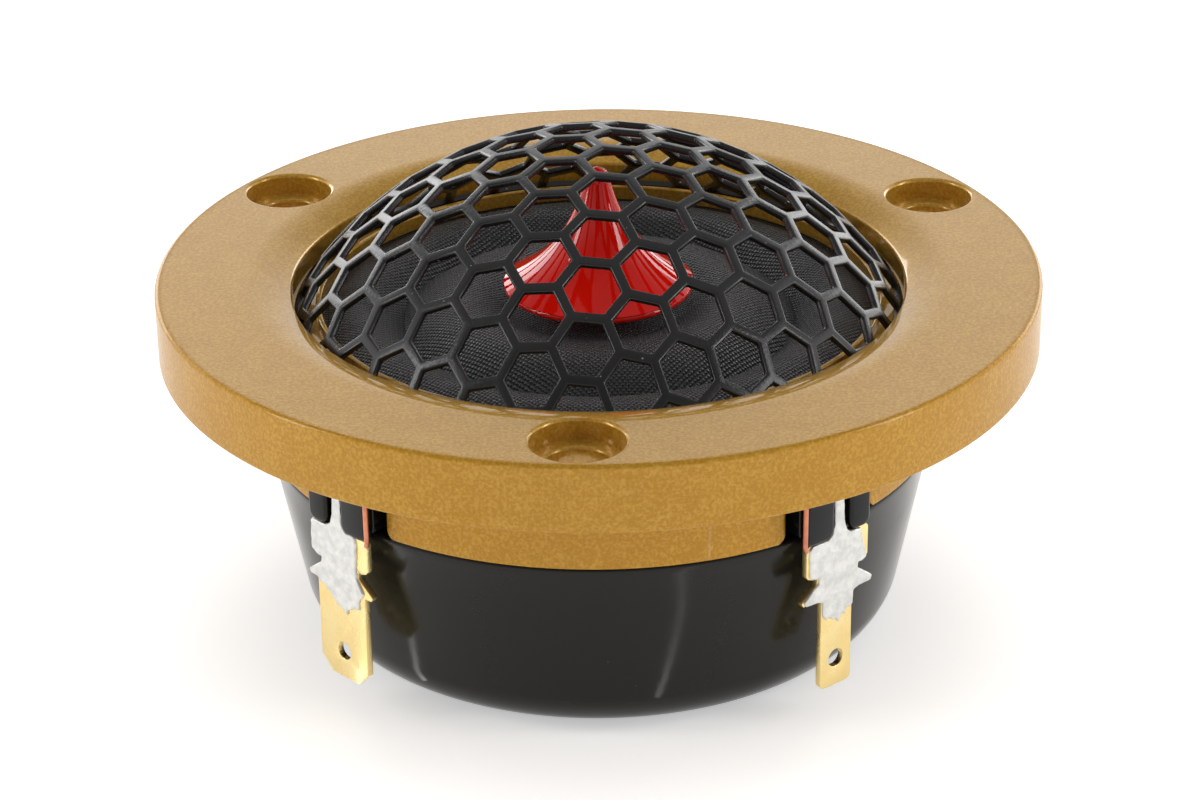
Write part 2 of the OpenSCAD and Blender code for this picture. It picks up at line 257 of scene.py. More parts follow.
def wear_group() -> bpy.types.NodeTree:
    """Hairline scuffs and dust specks from handling.

    Returns:
        A group that puts out a scuff mask and a speck mask.
    """
    nodes, takes, gives = new_group(
        "handling wear",
        {"Vector": (VECTOR, None), "Scuffs": (FLOAT, 180.0), "Specks": (FLOAT, 900.0)},
        {"Scuff": FLOAT, "Speck": FLOAT},
        "ShaderNodeTree",
    )
    drawn_out = {"Vector": takes["Vector"], "Rotation": (0.4, 0.9, 0.3), "Scale": (1.0, 14.0, 1.0)}
    long = nodes.add("ShaderNodeMapping", drawn_out)
    lines = nodes.noise(long.outputs[0], takes["Scuffs"], 5.0, 0.7)
    scuff = nodes.ramp(lines, 0.62, 0.72)
    spots = {"Vector": takes["Vector"], "Scale": takes["Specks"]}
    cells = nodes.add("ShaderNodeTexVoronoi", spots, feature="F1")
    speck = nodes.ramp(cells.outputs["Distance"], 0.10, 0.04)
    rare = nodes.ramp(nodes.noise(takes["Vector"], takes["Scuffs"], 2.0), 0.56, 0.66)
    nodes.tree.links.new(scuff, gives["Scuff"])
    nodes.tree.links.new(nodes.math("MULTIPLY", speck, rare), gives["Speck"])
    return nodes.tree


def lathe_group() -> bpy.types.NodeTree:
    """Concentric tool marks around the axis.

    Returns:
        A group that puts out the marks' height.
    """
    nodes, takes, gives = new_group(
        "lathe marks",
        {"Vector": (VECTOR, None), "Marks": (FLOAT, 4200.0)},
        {"Height": FLOAT},
        "ShaderNodeTree",
    )
    axes = nodes.add("ShaderNodeSeparateXYZ", {"Vector": takes["Vector"]})
    x, y, z = axes.outputs
    radius = nodes.math("SQRT", nodes.math("ADD", nodes.math("MULTIPLY", x, x), nodes.math("MULTIPLY", y, y)))
    ring = nodes.add("ShaderNodeCombineXYZ", {"X": radius, "Y": nodes.math("MULTIPLY", x, 0.02), "Z": z})
    nodes.tree.links.new(nodes.noise(ring.outputs[0], takes["Marks"], 2.0, 0.7), gives["Height"])
    return nodes.tree


class Groups:
    """The shader groups that several finishes share, each built once."""

    def __init__(self) -> None:
        """Builds the groups."""
        self.grain = grain_group()
        self.wear = wear_group()
        self.marks = lathe_group()


class Look(Nodes):
    """One material being put together: a Principled shader and what feeds it."""

    def __init__(self, name: str) -> None:
        """Starts a material with only its shader.

        Args:
            name: the finish's name.
        """
        self.material = bpy.data.materials.new(name)
        self.material.use_nodes = True
        super().__init__(self.material.node_tree)
        self.tree.nodes.clear()
        self.shader = self.add("ShaderNodeBsdfPrincipled")
        self.add("ShaderNodeOutputMaterial", {"Surface": self.shader.outputs[0]})
        self.at = self.add("ShaderNodeTexCoord").outputs["Object"]

    def set(self, **values: float | Colour | Socket) -> None:
        """Sets or links the shader's inputs.

        Args:
            values: input names with underscores for spaces.
        """
        for key, value in values.items():
            socket = self.shader.inputs[key.replace("_", " ")]
            if isinstance(value, Socket):
                self.tree.links.new(value, socket)
            else:
                socket.default_value = value

    def group(self, tree: bpy.types.NodeTree, **values: float) -> bpy.types.Node:
        """Places a shared group at this material's coordinates.

        Args:
            tree: the group.
            values: its inputs' values.

        Returns:
            The group's node.
        """
        node = self.add("ShaderNodeGroup", node_tree=tree)
        self.tree.links.new(self.at, node.inputs["Vector"])
        for key, value in values.items():
            node.inputs[key].default_value = value
        return node

    def radius(self) -> tuple[Socket, Socket]:
        """Distance from the axis and height, in metres.

        Returns:
            The radius and the height.
        """
        x, y, z = self.add("ShaderNodeSeparateXYZ", {"Vector": self.at}).outputs
        square = self.math("ADD", self.math("MULTIPLY", x, x), self.math("MULTIPLY", y, y))
        return self.math("SQRT", square), z

    def bump(self, height: Socket, distance: float, strength: float = 1.0) -> None:
        """Feeds a height into the shader's normal.

        Args:
            height: the height, from 0 to 1.
            distance: the height's reach in metres.
            strength: the bump's strength.
        """
        node = self.add("ShaderNodeBump", {"Height": height, "Distance": distance, "Strength": strength})
        self.set(Normal=node.outputs[0])


def grey(value: float) -> Colour:
    """An opaque grey."""
    return (value, value, value, 1.0)


# ------------------------------------------------------------------ finishes


@dataclass(frozen=True)
class BronzePaint:
    """Metallic bronze paint: gold flake under a clear coat, rougher on the rim and spigot, where the colour
    is also darkened, partly for the duller cast finish and partly as painted shade.
    """

    deep: Colour = (0.410, 0.200, 0.015, 1.0)
    pale: Colour = (0.570, 0.340, 0.055, 1.0)
    metal: float = 0.45
    seat: float = -0.0001
    rim_radius: float = 0.0304

    def material(self, groups: Groups) -> bpy.types.Material:
        """Builds the paint.

        Args:
            groups: the shared groups.

        Returns:
            The material.
        """
        look = Look("bronze_paint")
        grain = look.group(groups.grain, Grain=4600.0, Cloud=420.0)
        flake = look.noise(look.at, 4200.0, 3.0, 0.65)
        wear = look.group(groups.wear, Scuffs=120.0, Specks=1500.0)
        radius, height = look.radius()
        spigot = look.ramp(height, self.seat, self.seat - 0.0002)
        rim = look.ramp(radius, self.rim_radius, self.rim_radius + 0.0005)
        # the rough mask covers the rim and spigot: rougher cast paint there, and the same mask darkens their
        # colour below, partly as painted shade
        rough = look.math("MAXIMUM", spigot, look.math("MULTIPLY", rim, 0.9))
        cloud = look.math("MULTIPLY", grain.outputs["Cloud"], 0.18)
        mixed = look.raised(cloud, look.ramp(flake, 0.36, 0.66), 0.75)
        scuffed = look.math("MULTIPLY", wear.outputs["Scuff"], 0.12)
        look.set(
            # base colour pulled toward the deep tone on the rim and spigot: partly the cast finish, partly
            # painted shade
            Base_Color=look.blend(look.raised(mixed, rough, -0.28), self.deep, self.pale),
            Metallic=self.metal,
            Roughness=look.raised(0.36, rough, 0.16),
            Coat_Weight=look.math("SUBTRACT", 1.0, look.raised(scuffed, rough, 0.55)),
            Coat_Roughness=0.05,
            Coat_IOR=1.5,
            Specular_IOR_Level=0.0,
        )
        cast = look.math("MULTIPLY", grain.outputs["Height"], look.raised(0.10, rough, 1.0))
        look.bump(cast, 0.00008)
        return look.material


@dataclass(frozen=True)
class SatinBlack:
    """Satin black powder coat, as on the grille."""

    name: str = "grille_black"
    base: Colour = (0.011, 0.011, 0.011, 1.0)
    roughness: float = 0.22

    def material(self, groups: Groups) -> bpy.types.Material:
        """Builds the coat.

        Args:
            groups: the shared groups.

        Returns:
            The material.
        """
        look = Look(self.name)
        grain = look.group(groups.grain, Grain=3800.0, Cloud=260.0)
        wear = look.group(groups.wear, Scuffs=150.0, Specks=1100.0)
        look.set(
            Base_Color=look.blend(wear.outputs["Speck"], self.base, grey(0.22)),
            Roughness=look.raised(self.roughness, grain.outputs["Cloud"], 0.10),
            Specular_IOR_Level=0.55,
        )
        look.bump(grain.outputs["Height"], 0.00003, 0.6)
        return look.material


@dataclass(frozen=True)
class RedLacquer:
    """High-gloss red moulding."""

    base: Colour = (0.72, 0.008, 0.002, 1.0)
    dark: Colour = (0.66, 0.006, 0.002, 1.0)

    def material(self, groups: Groups) -> bpy.types.Material:
        """Builds the lacquer.

        Args:
            groups: the shared groups.

        Returns:
            The material.
        """
        look = Look("plug_red")
        grain = look.group(groups.grain, Grain=900.0, Cloud=220.0)
        wear = look.group(groups.wear, Scuffs=260.0, Specks=1400.0)
        look.set(
            Base_Color=look.blend(grain.outputs["Cloud"], self.base, self.dark),
            Roughness=look.raised(0.03, wear.outputs["Scuff"], 0.02),
            Specular_IOR_Level=0.5,
        )
        look.bump(grain.outputs["Height"], 0.000006, 0.5)
        return look.material


@dataclass(frozen=True)
class CoatedCloth:
    """Plain weave with a damping coat: round threads that catch the light, with the gaps between them painted
    darker as shade.
    """

    pitch: float = 0.00027
    turn: float = math.radians(38.0)
    gap_shade: Colour = (0.002, 0.002, 0.002, 1.0)
    thread: Colour = (0.024, 0.024, 0.026, 1.0)

    def weave(self, look: Look) -> Socket:
        """The height of a plain weave over the frame's X and Y.

        Args:
            look: the material.

        Returns:
            The height, from 0 to 1.
        """
        turned = look.add("ShaderNodeMapping", {
            "Vector": look.at, "Rotation": (0.0, 0.0, self.turn), "Scale": (1 / self.pitch,) * 3})
        warped = look.add("ShaderNodeTexNoise", {"Vector": look.at, "Scale": 180.0, "Detail": 1.0})
        half_thread = (0.5, 0.5, 0.5)
        shift = {0: warped.outputs["Color"], 1: half_thread, 2: turned.outputs[0]}
        shifted = look.add("ShaderNodeVectorMath", shift, operation="MULTIPLY_ADD")
        u, v, _ = look.add("ShaderNodeSeparateXYZ", {"Vector": shifted.outputs[0]}).outputs
        wave = [look.math("SINE", look.math("MULTIPLY", s, math.pi)) for s in (u, v)]
        over = look.ramp(look.math("MULTIPLY", *wave), -0.05, 0.05)
        bulge = [look.math("ABSOLUTE", s) for s in wave]
        warp = look.math("MULTIPLY", bulge[0], look.math("SQRT", bulge[1]))
        weft = look.math("MULTIPLY", bulge[1], look.math("SQRT", bulge[0]))
        return look.add("ShaderNodeMix", {0: over, 2: warp, 3: weft}).outputs[0]

    def material(self, groups: Groups) -> bpy.types.Material:
        """Builds the cloth.

        Args:
            groups: the shared groups.

        Returns:
            The material.
        """
        look = Look("coated_textile")
        grain = look.group(groups.grain, Grain=4200.0, Cloud=140.0)
        height = self.weave(look)
        # painted shade: the colour darkens from the thread colour to the gap shade where the weave sinks
        # between threads
        colour = look.blend(look.ramp(height, 0.25, 0.9), self.gap_shade, self.thread)
        dusty = look.math("MULTIPLY", grain.outputs["Cloud"], 0.3)
        look.set(
            Base_Color=look.blend(dusty, colour, grey(0.012)),
            Roughness=look.raised(0.78, height, -0.55),
            Specular_IOR_Level=0.75,
        )
        look.bump(height, 0.0002)
        return look.material


@dataclass(frozen=True)
class BlackMoulding:
    """Moulded black plastic, from satin to high gloss."""

    name: str
    base: Colour = (0.009, 0.009, 0.007, 1.0)
    roughness: float = 0.13
    specular: float = 0.2
    grain: float = 0.3

    def material(self, groups: Groups) -> bpy.types.Material:
        """Builds the plastic.

        Args:
            groups: the shared groups.

        Returns:
            The material.
        """
        look = Look(self.name)
        grain = look.group(groups.grain, Grain=2400.0, Cloud=160.0)
        wear = look.group(groups.wear, Scuffs=90.0, Specks=1300.0)
        cloudy = look.raised(self.roughness, grain.outputs["Cloud"], 0.06)
        look.set(
            Base_Color=look.blend(look.math("MULTIPLY", wear.outputs["Speck"], 0.6), self.base, grey(0.14)),
            Roughness=look.raised(cloudy, wear.outputs["Scuff"], 0.10),
            Specular_IOR_Level=self.specular,
        )
        look.bump(grain.outputs["Height"], 0.00002, self.grain)
        return look.material


@dataclass(frozen=True)
class Metal:
    """A bare or plated metal with tool marks or specks."""

    name: str
    base: Colour
    stain: Colour
    roughness: float = 0.25
    marks: Turned = Turned.SPECKS
    depth: float = 0.00001

    def material(self, groups: Groups) -> bpy.types.Material:
        """Builds the metal.

        Args:
            groups: the shared groups.

        Returns:
            The material.
        """
        look = Look(self.name)
        grain = look.group(groups.grain, Grain=5200.0, Cloud=380.0)
        wear = look.group(groups.wear, Scuffs=220.0, Specks=1700.0)
        if self.marks is Turned.RINGS:
            height = look.group(groups.marks, Marks=4200.0).outputs["Height"]
        else:
            height = grain.outputs["Height"]
        specks = look.math("MULTIPLY", wear.outputs["Speck"], 0.45)
        stained = look.raised(specks, grain.outputs["Cloud"], 0.55)
        cloudy = look.raised(self.roughness, grain.outputs["Cloud"], 0.12)
        look.set(
            Base_Color=look.blend(stained, self.base, self.stain),
            Metallic=1.0,
            Roughness=look.raised(cloudy, wear.outputs["Scuff"], 0.15),
        )
        look.bump(height, self.depth, 0.7)
        return look.material


@dataclass(frozen=True)
class DullSolder:
    """Tinned solder: bright, frosted, pitted and mottled."""

    bright: Colour = (0.72, 0.715, 0.68, 1.0)
    dull: Colour = (0.60, 0.60, 0.585, 1.0)
    flux: Colour = (0.42, 0.27, 0.09, 1.0)

    def material(self, groups: Groups) -> bpy.types.Material:
        """Builds the solder.

        Args:
            groups: the shared groups.

        Returns:
            The material.
        """
        look = Look("solder")
        grain = look.group(groups.grain, Grain=2600.0, Cloud=1500.0)
        wear = look.group(groups.wear, Scuffs=420.0, Specks=1500.0)
        tone = look.blend(grain.outputs["Cloud"], self.bright, self.dull)
        look.set(
            Base_Color=look.blend(look.math("MULTIPLY", wear.outputs["Speck"], 0.8), tone, self.flux),
            Metallic=0.75,
            Roughness=look.raised(0.36, grain.outputs["Cloud"], 0.14),
        )
        look.bump(grain.outputs["Height"], 0.00009, 0.8)
        return look.material


@dataclass(frozen=True)
class Enamel:
    """Clear enamel over copper, as on winding and lead wire."""

    base: Colour = (0.70, 0.235, 0.105, 1.0)
    dark: Colour = (0.50, 0.14, 0.055, 1.0)

    def material(self, groups: Groups) -> bpy.types.Material:
        """Builds the enamel.

        Args:
            groups: the shared groups.

        Returns:
            The material.
        """
        look = Look("enamelled_copper")
        grain = look.group(groups.grain, Grain=3600.0, Cloud=700.0)
        look.set(
            Base_Color=look.blend(grain.outputs["Cloud"], self.base, self.dark),
            Metallic=0.55,
            Roughness=look.raised(0.30, grain.outputs["Cloud"], 0.10),
            Coat_Weight=0.7,
            Coat_Roughness=0.08,
        )
        look.bump(grain.outputs["Height"], 0.00001, 0.5)
        return look.material


@dataclass(frozen=True)
class Film:
    """A thin moulded or wound plastic: amber former film, or natural nylon."""

    name: str
    base: Colour
    dark: Colour
    roughness: float = 0.3

    def material(self, groups: Groups) -> bpy.types.Material:
        """Builds the plastic.

        Args:
            groups: the shared groups.

        Returns:
            The material.
        """
        look = Look(self.name)
        grain = look.group(groups.grain, Grain=3000.0, Cloud=260.0)
        wear = look.group(groups.wear, Scuffs=200.0, Specks=1200.0)
        look.set(
            Base_Color=look.blend(grain.outputs["Cloud"], self.base, self.dark),
            Roughness=look.raised(self.roughness, wear.outputs["Scuff"], 0.2),
            Coat_Weight=0.2,
        )
        look.bump(grain.outputs["Height"], 0.00001, 0.5)
        return look.material


@dataclass(frozen=True)
class Felt:
    """Grey wool felt: short tangled fibres."""

    base: Colour = (0.085, 0.085, 0.09, 1.0)
    light: Colour = (0.21, 0.21, 0.215, 1.0)

    def material(self, groups: Groups) -> bpy.types.Material:
        """Builds the felt.

        Args:
            groups: the shared groups.

        Returns:
            The material.
        """
        look = Look("felt")
        grain = look.group(groups.grain, Grain=2200.0, Cloud=520.0)
        wear = look.group(groups.wear, Scuffs=700.0, Specks=2400.0)
        tangle = look.math("MAXIMUM", grain.outputs["Height"], wear.outputs["Scuff"])
        look.set(
            Base_Color=look.blend(look.ramp(tangle, 0.35, 0.75), self.base, self.light),
            Roughness=look.raised(0.88, grain.outputs["Cloud"], 0.08),
            Sheen_Weight=0.4,
        )
        look.bump(tangle, 0.00015, 0.9)
        return look.material


class Finishes:
    """Every finish of the object, built once."""

    def __init__(self) -> None:
        """Builds the materials on one set of shared groups."""
        groups = Groups()
        self.bronze = BronzePaint().material(groups)
        self.grille = SatinBlack().material(groups)
        self.red = RedLacquer().material(groups)
        self.cloth = CoatedCloth().material(groups)
        self.cup = BlackMoulding("cup_black").material(groups)
        self.lug = BlackMoulding(
            "lug_black", base=grey(0.004), roughness=0.08, specular=0.25, grain=0.35,
        ).material(groups)
        self.frame = BlackMoulding(
            "black_plastic", base=(0.02, 0.02, 0.021, 1.0), roughness=0.5,
        ).material(groups)
        self.gold = Metal(
            "gold_plate", (0.89, 0.72, 0.35, 1.0), (0.81, 0.57, 0.20, 1.0), 0.22, depth=0.00002,
        ).material(groups)
        self.solder = DullSolder().material(groups)
        self.enamel = Enamel().material(groups)
        self.film = Film(
            "polyimide", (0.62, 0.30, 0.06, 1.0), (0.48, 0.20, 0.03, 1.0), 0.22,
        ).material(groups)
        self.zinc = Metal(
            "zinc_steel", (0.52, 0.54, 0.57, 1.0), (0.40, 0.40, 0.36, 1.0), 0.30, Turned.RINGS,
        ).material(groups)
        self.nickel = Metal(
            "nickel_magnet", (0.72, 0.71, 0.69, 1.0), (0.60, 0.58, 0.54, 1.0), 0.14, depth=0.000005,
        ).material(groups)
        self.copper = Metal(
            "copper_cap", (0.80, 0.42, 0.26, 1.0), (0.55, 0.25, 0.15, 1.0), 0.24, Turned.RINGS,
        ).material(groups)
        self.brass = Metal(
            "brass_stud", (0.78, 0.60, 0.28, 1.0), (0.62, 0.44, 0.18, 1.0), 0.22, Turned.RINGS,
        ).material(groups)
        self.nylon = Film(
            "natural_plastic", (0.74, 0.71, 0.62, 1.0), (0.62, 0.58, 0.48, 1.0), 0.42,
        ).material(groups)
        self.felt = Felt().material(groups)


# ------------------------------------------------------------- mesh building


def arc(centre: Point, radius: float, start: float, end: float, steps: int = 8) -> list[Point]:
    """Points along an arc.

    Args:
        centre: the arc's centre.
        radius: its radius.
        start: its first angle in degrees.
        end: its last angle in degrees.
        steps: the number of spans.

    Returns:
        The points, ends included.
    """
    angles = [math.radians(start + (end - start) * i / steps) for i in range(steps + 1)]
    return [(centre[0] + radius * math.cos(a), centre[1] + radius * math.sin(a)) for a in angles]


def finish_mesh(
    name: str, build: bmesh.types.BMesh, sharp: float = 40.0, recalculate: bool = True,
) -> bpy.types.Mesh:
    """Turns a built mesh into mesh data with smooth faces and sharp corners.

    Args:
        name: the mesh's name.
        build: the mesh, which is freed.
        sharp: the angle in degrees past which an edge stays sharp.
        recalculate: whether the faces are made to point outwards here.

    Returns:
        The mesh data.
    """
    if recalculate:
        bmesh.ops.recalc_face_normals(build, faces=build.faces)
    for face in build.faces:
        face.smooth = True
    mesh = bpy.data.meshes.new(name)
    build.to_mesh(mesh)
    build.free()
    mesh.set_sharp_from_angle(angle=math.radians(sharp))
    return mesh


def lathe(name: str, profile: Sequence[Point], segments: int = 256, sharp: float = 40.0) -> bpy.types.Mesh:
    """Turns a closed profile about the Z axis.

    Args:
        name: the mesh's name.
        profile: (radius, height) points around the section; a radius of 0 lies on the axis.
        segments: the number of segments around.
        sharp: the angle past which an edge stays sharp.

    Returns:
        The turned solid.
    """
    build = bmesh.new()
    angles = [2 * math.pi * k / segments for k in range(segments)]
    rings = []
    for r, z in profile:
        if r < 1e-6:
            rings.append([build.verts.new((0.0, 0.0, z))])
        else:
            rings.append([build.verts.new((r * math.cos(a), r * math.sin(a), z)) for a in angles])
    for low, high in zip(rings, rings[1:] + rings[:1]):
        if len(low) == 1 and len(high) == 1:
            continue
        for k in range(segments):
            after = k + 1
            corners = [low[k % len(low)], low[after % len(low)], high[after % len(high)], high[k % len(high)]]
            build.faces.new(list(dict.fromkeys(corners)))
    return finish_mesh(name, build, sharp)


def tube(name: str, points: Sequence[Vector], radius: float, sides: int = 16) -> bpy.types.Mesh:
    """A round tube with rounded ends along a smooth route.

    Args:
        name: the mesh's name.
        points: the centreline.
        radius: the tube's radius.
        sides: the number of sides.

    Returns:
        The tube.
    """
    build = bmesh.new()
    last = len(points) - 1
    side = Vector((1.0, 0.0, 0.0))
    angles = [2 * math.pi * k / sides for k in range(sides)]
    rings = []
    for i, point in enumerate(points):
        ahead = (points[min(i + 1, last)] - points[max(i - 1, 0)]).normalized()
        side = (side - ahead * side.dot(ahead)).normalized()
        up = ahead.cross(side)
        spokes = [side * math.cos(a) + up * math.sin(a) for a in angles]
        rings.append([build.verts.new(point + radius * spoke) for spoke in spokes])
    for low, high in zip(rings, rings[1:]):
        for k in range(sides):
            build.faces.new([low[k], low[(k + 1) % sides], high[(k + 1) % sides], high[k]])
    for ring, toward in ((rings[0], points[0] - points[1]), (rings[-1], points[-1] - points[-2])):
        centre = sum((v.co for v in ring), Vector()) / sides
        tip = build.verts.new(centre + toward.normalized() * radius * 0.5)
        for k in range(sides):
            build.faces.new([ring[k], ring[(k + 1) % sides], tip])
    return finish_mesh(name, build, 60.0)


def smooth_route(points: Sequence[Sequence[float]], spans: int = 6) -> list[Vector]:
    """A Catmull-Rom curve through points.

    Args:
        points: the points that the route passes.
        spans: how many spans replace each one.

    Returns:
        The finer route.
    """
    knots = [Vector(p) for p in points]
    knots = [2 * knots[0] - knots[1], *knots, 2 * knots[-1] - knots[-2]]
    route = []
    for before, a, b, after in zip(knots, knots[1:], knots[2:], knots[3:]):
        for i in range(spans):
            t = i / spans
            route.append(
                0.5 * (2 * a + (b - before) * t + (2 * before - 5 * a + 4 * b - after) * t**2
                       + (3 * a - before - 3 * b + after) * t**3)
            )
    return [*route, knots[-2]]


def plate(name: str, loops: Sequence[Sequence[Point]], thickness: float, edge: float) -> bpy.types.Mesh:
    """A flat plate with rounded edges, drawn in X and Z and thick along Y about Y 0.

    Args:
        name: the mesh's name.
        loops: the outline and then any holes.
        thickness: the plate's thickness.
        edge: the radius of its edges.

    Returns:
        The plate.
    """
    curve = bpy.data.curves.new(name, "CURVE")
    curve.dimensions, curve.fill_mode = "2D", "BOTH"
    for loop in loops:
        spline = curve.splines.new("POLY")
        spline.points.add(len(loop) - 1)
        for point, (x, z) in zip(spline.points, loop):
            point.co = (x, z, 0.0, 1.0)
        spline.use_cyclic_u = True
    curve.extrude, curve.bevel_depth, curve.bevel_resolution = thickness / 2 - edge, edge, 3
    curve.offset = -edge
    build = bmesh.new()
    build.from_mesh(flattened(helper(curve)))
    bmesh.ops.remove_doubles(build, verts=build.verts, dist=0.002)
    bmesh.ops.transform(build, matrix=Matrix.Rotation(math.radians(90), 4, "X"), verts=build.verts)
    return finish_mesh(name, build, 35.0)


def flattened(holder: bpy.types.Object) -> bpy.types.Mesh:
    """Applies an object's modifiers, keeps the mesh and removes the object.

    Args:
        holder: the object, with its modifiers.

    Returns:
        The plain mesh.
    """
    graph = bpy.context.evaluated_depsgraph_get()
    graph.update()
    mesh = bpy.data.meshes.new_from_object(holder.evaluated_get(graph), depsgraph=graph)
    bpy.data.objects.remove(holder)
    return mesh


def helper(shape: bpy.types.Mesh | bpy.types.Curve) -> bpy.types.Object:
    """Links a mesh or a curve as an object."""
    holder = bpy.data.objects.new(shape.name, shape)
    bpy.context.scene.collection.objects.link(holder)
    return holder


def run_tree(
    holder: bpy.types.Object, name: str, tree: bpy.types.NodeTree, values: dict[str, object],
) -> None:
    """Puts a geometry tree on an object and sets the tree's inputs.

    Args:
        holder: the object.
        name: the modifier's name.
        tree: the geometry tree.
        values: input name to value.
    """
    modifier = holder.modifiers.new(name, "NODES")
    modifier.node_group = tree
    for item in tree.interface.items_tree:
        if item.in_out == "INPUT":
            modifier[item.identifier] = values[item.name]


def carved(solid: bpy.types.Mesh, tools: Sequence[bpy.types.Mesh]) -> bpy.types.Mesh:
    """Cuts tools out of a solid and evens the shading of its flat faces.

    Args:
        solid: the solid.
        tools: the solids that are cut away.

    Returns:
        The cut mesh.
    """
    holder = helper(solid)
    cutters = [helper(tool) for tool in tools]
    for cutter in cutters:
        cut = holder.modifiers.new("cut", "BOOLEAN")
        cut.object, cut.operation, cut.solver = cutter, "DIFFERENCE", "EXACT"
    even = holder.modifiers.new("even", "WEIGHTED_NORMAL")
    even.keep_sharp = True
    mesh = flattened(holder)
    for cutter in cutters:
        bpy.data.objects.remove(cutter)
    return mesh


def at_terminal(side: Side) -> Matrix:
    """Turns what is drawn at the front to a terminal's place."""
    return Matrix.Rotation(math.radians(side.value * Terminal.angle), 4, "Z")


def make_piece(
    name: str, mesh: bpy.types.Mesh, look: bpy.types.Material,
    replaced: Sequence[str] = (), body: str | None = "root",
) -> bpy.types.Object:
    """Makes a finished mesh a piece of the object, in metres, at the origin.

    Args:
        name: the piece's name.
        mesh: its mesh in millimetres.
        look: its material.
        replaced: the CAD nodes that it stands for.
        body: the CAD body that it rides on, or None to leave it unattached.

    Returns:
        The piece.
    """
    mesh.transform(Matrix.Scale(MM, 4))
    mesh.materials.clear()
    mesh.materials.append(look)
    obj = helper(mesh)
    obj.name = name
    if body:
        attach(obj, body)
    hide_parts(*replaced)
    LOG.info("%s: %d faces", name, len(mesh.polygons))
    return obj


# -------------------------------------------------------------- sub-assemblies


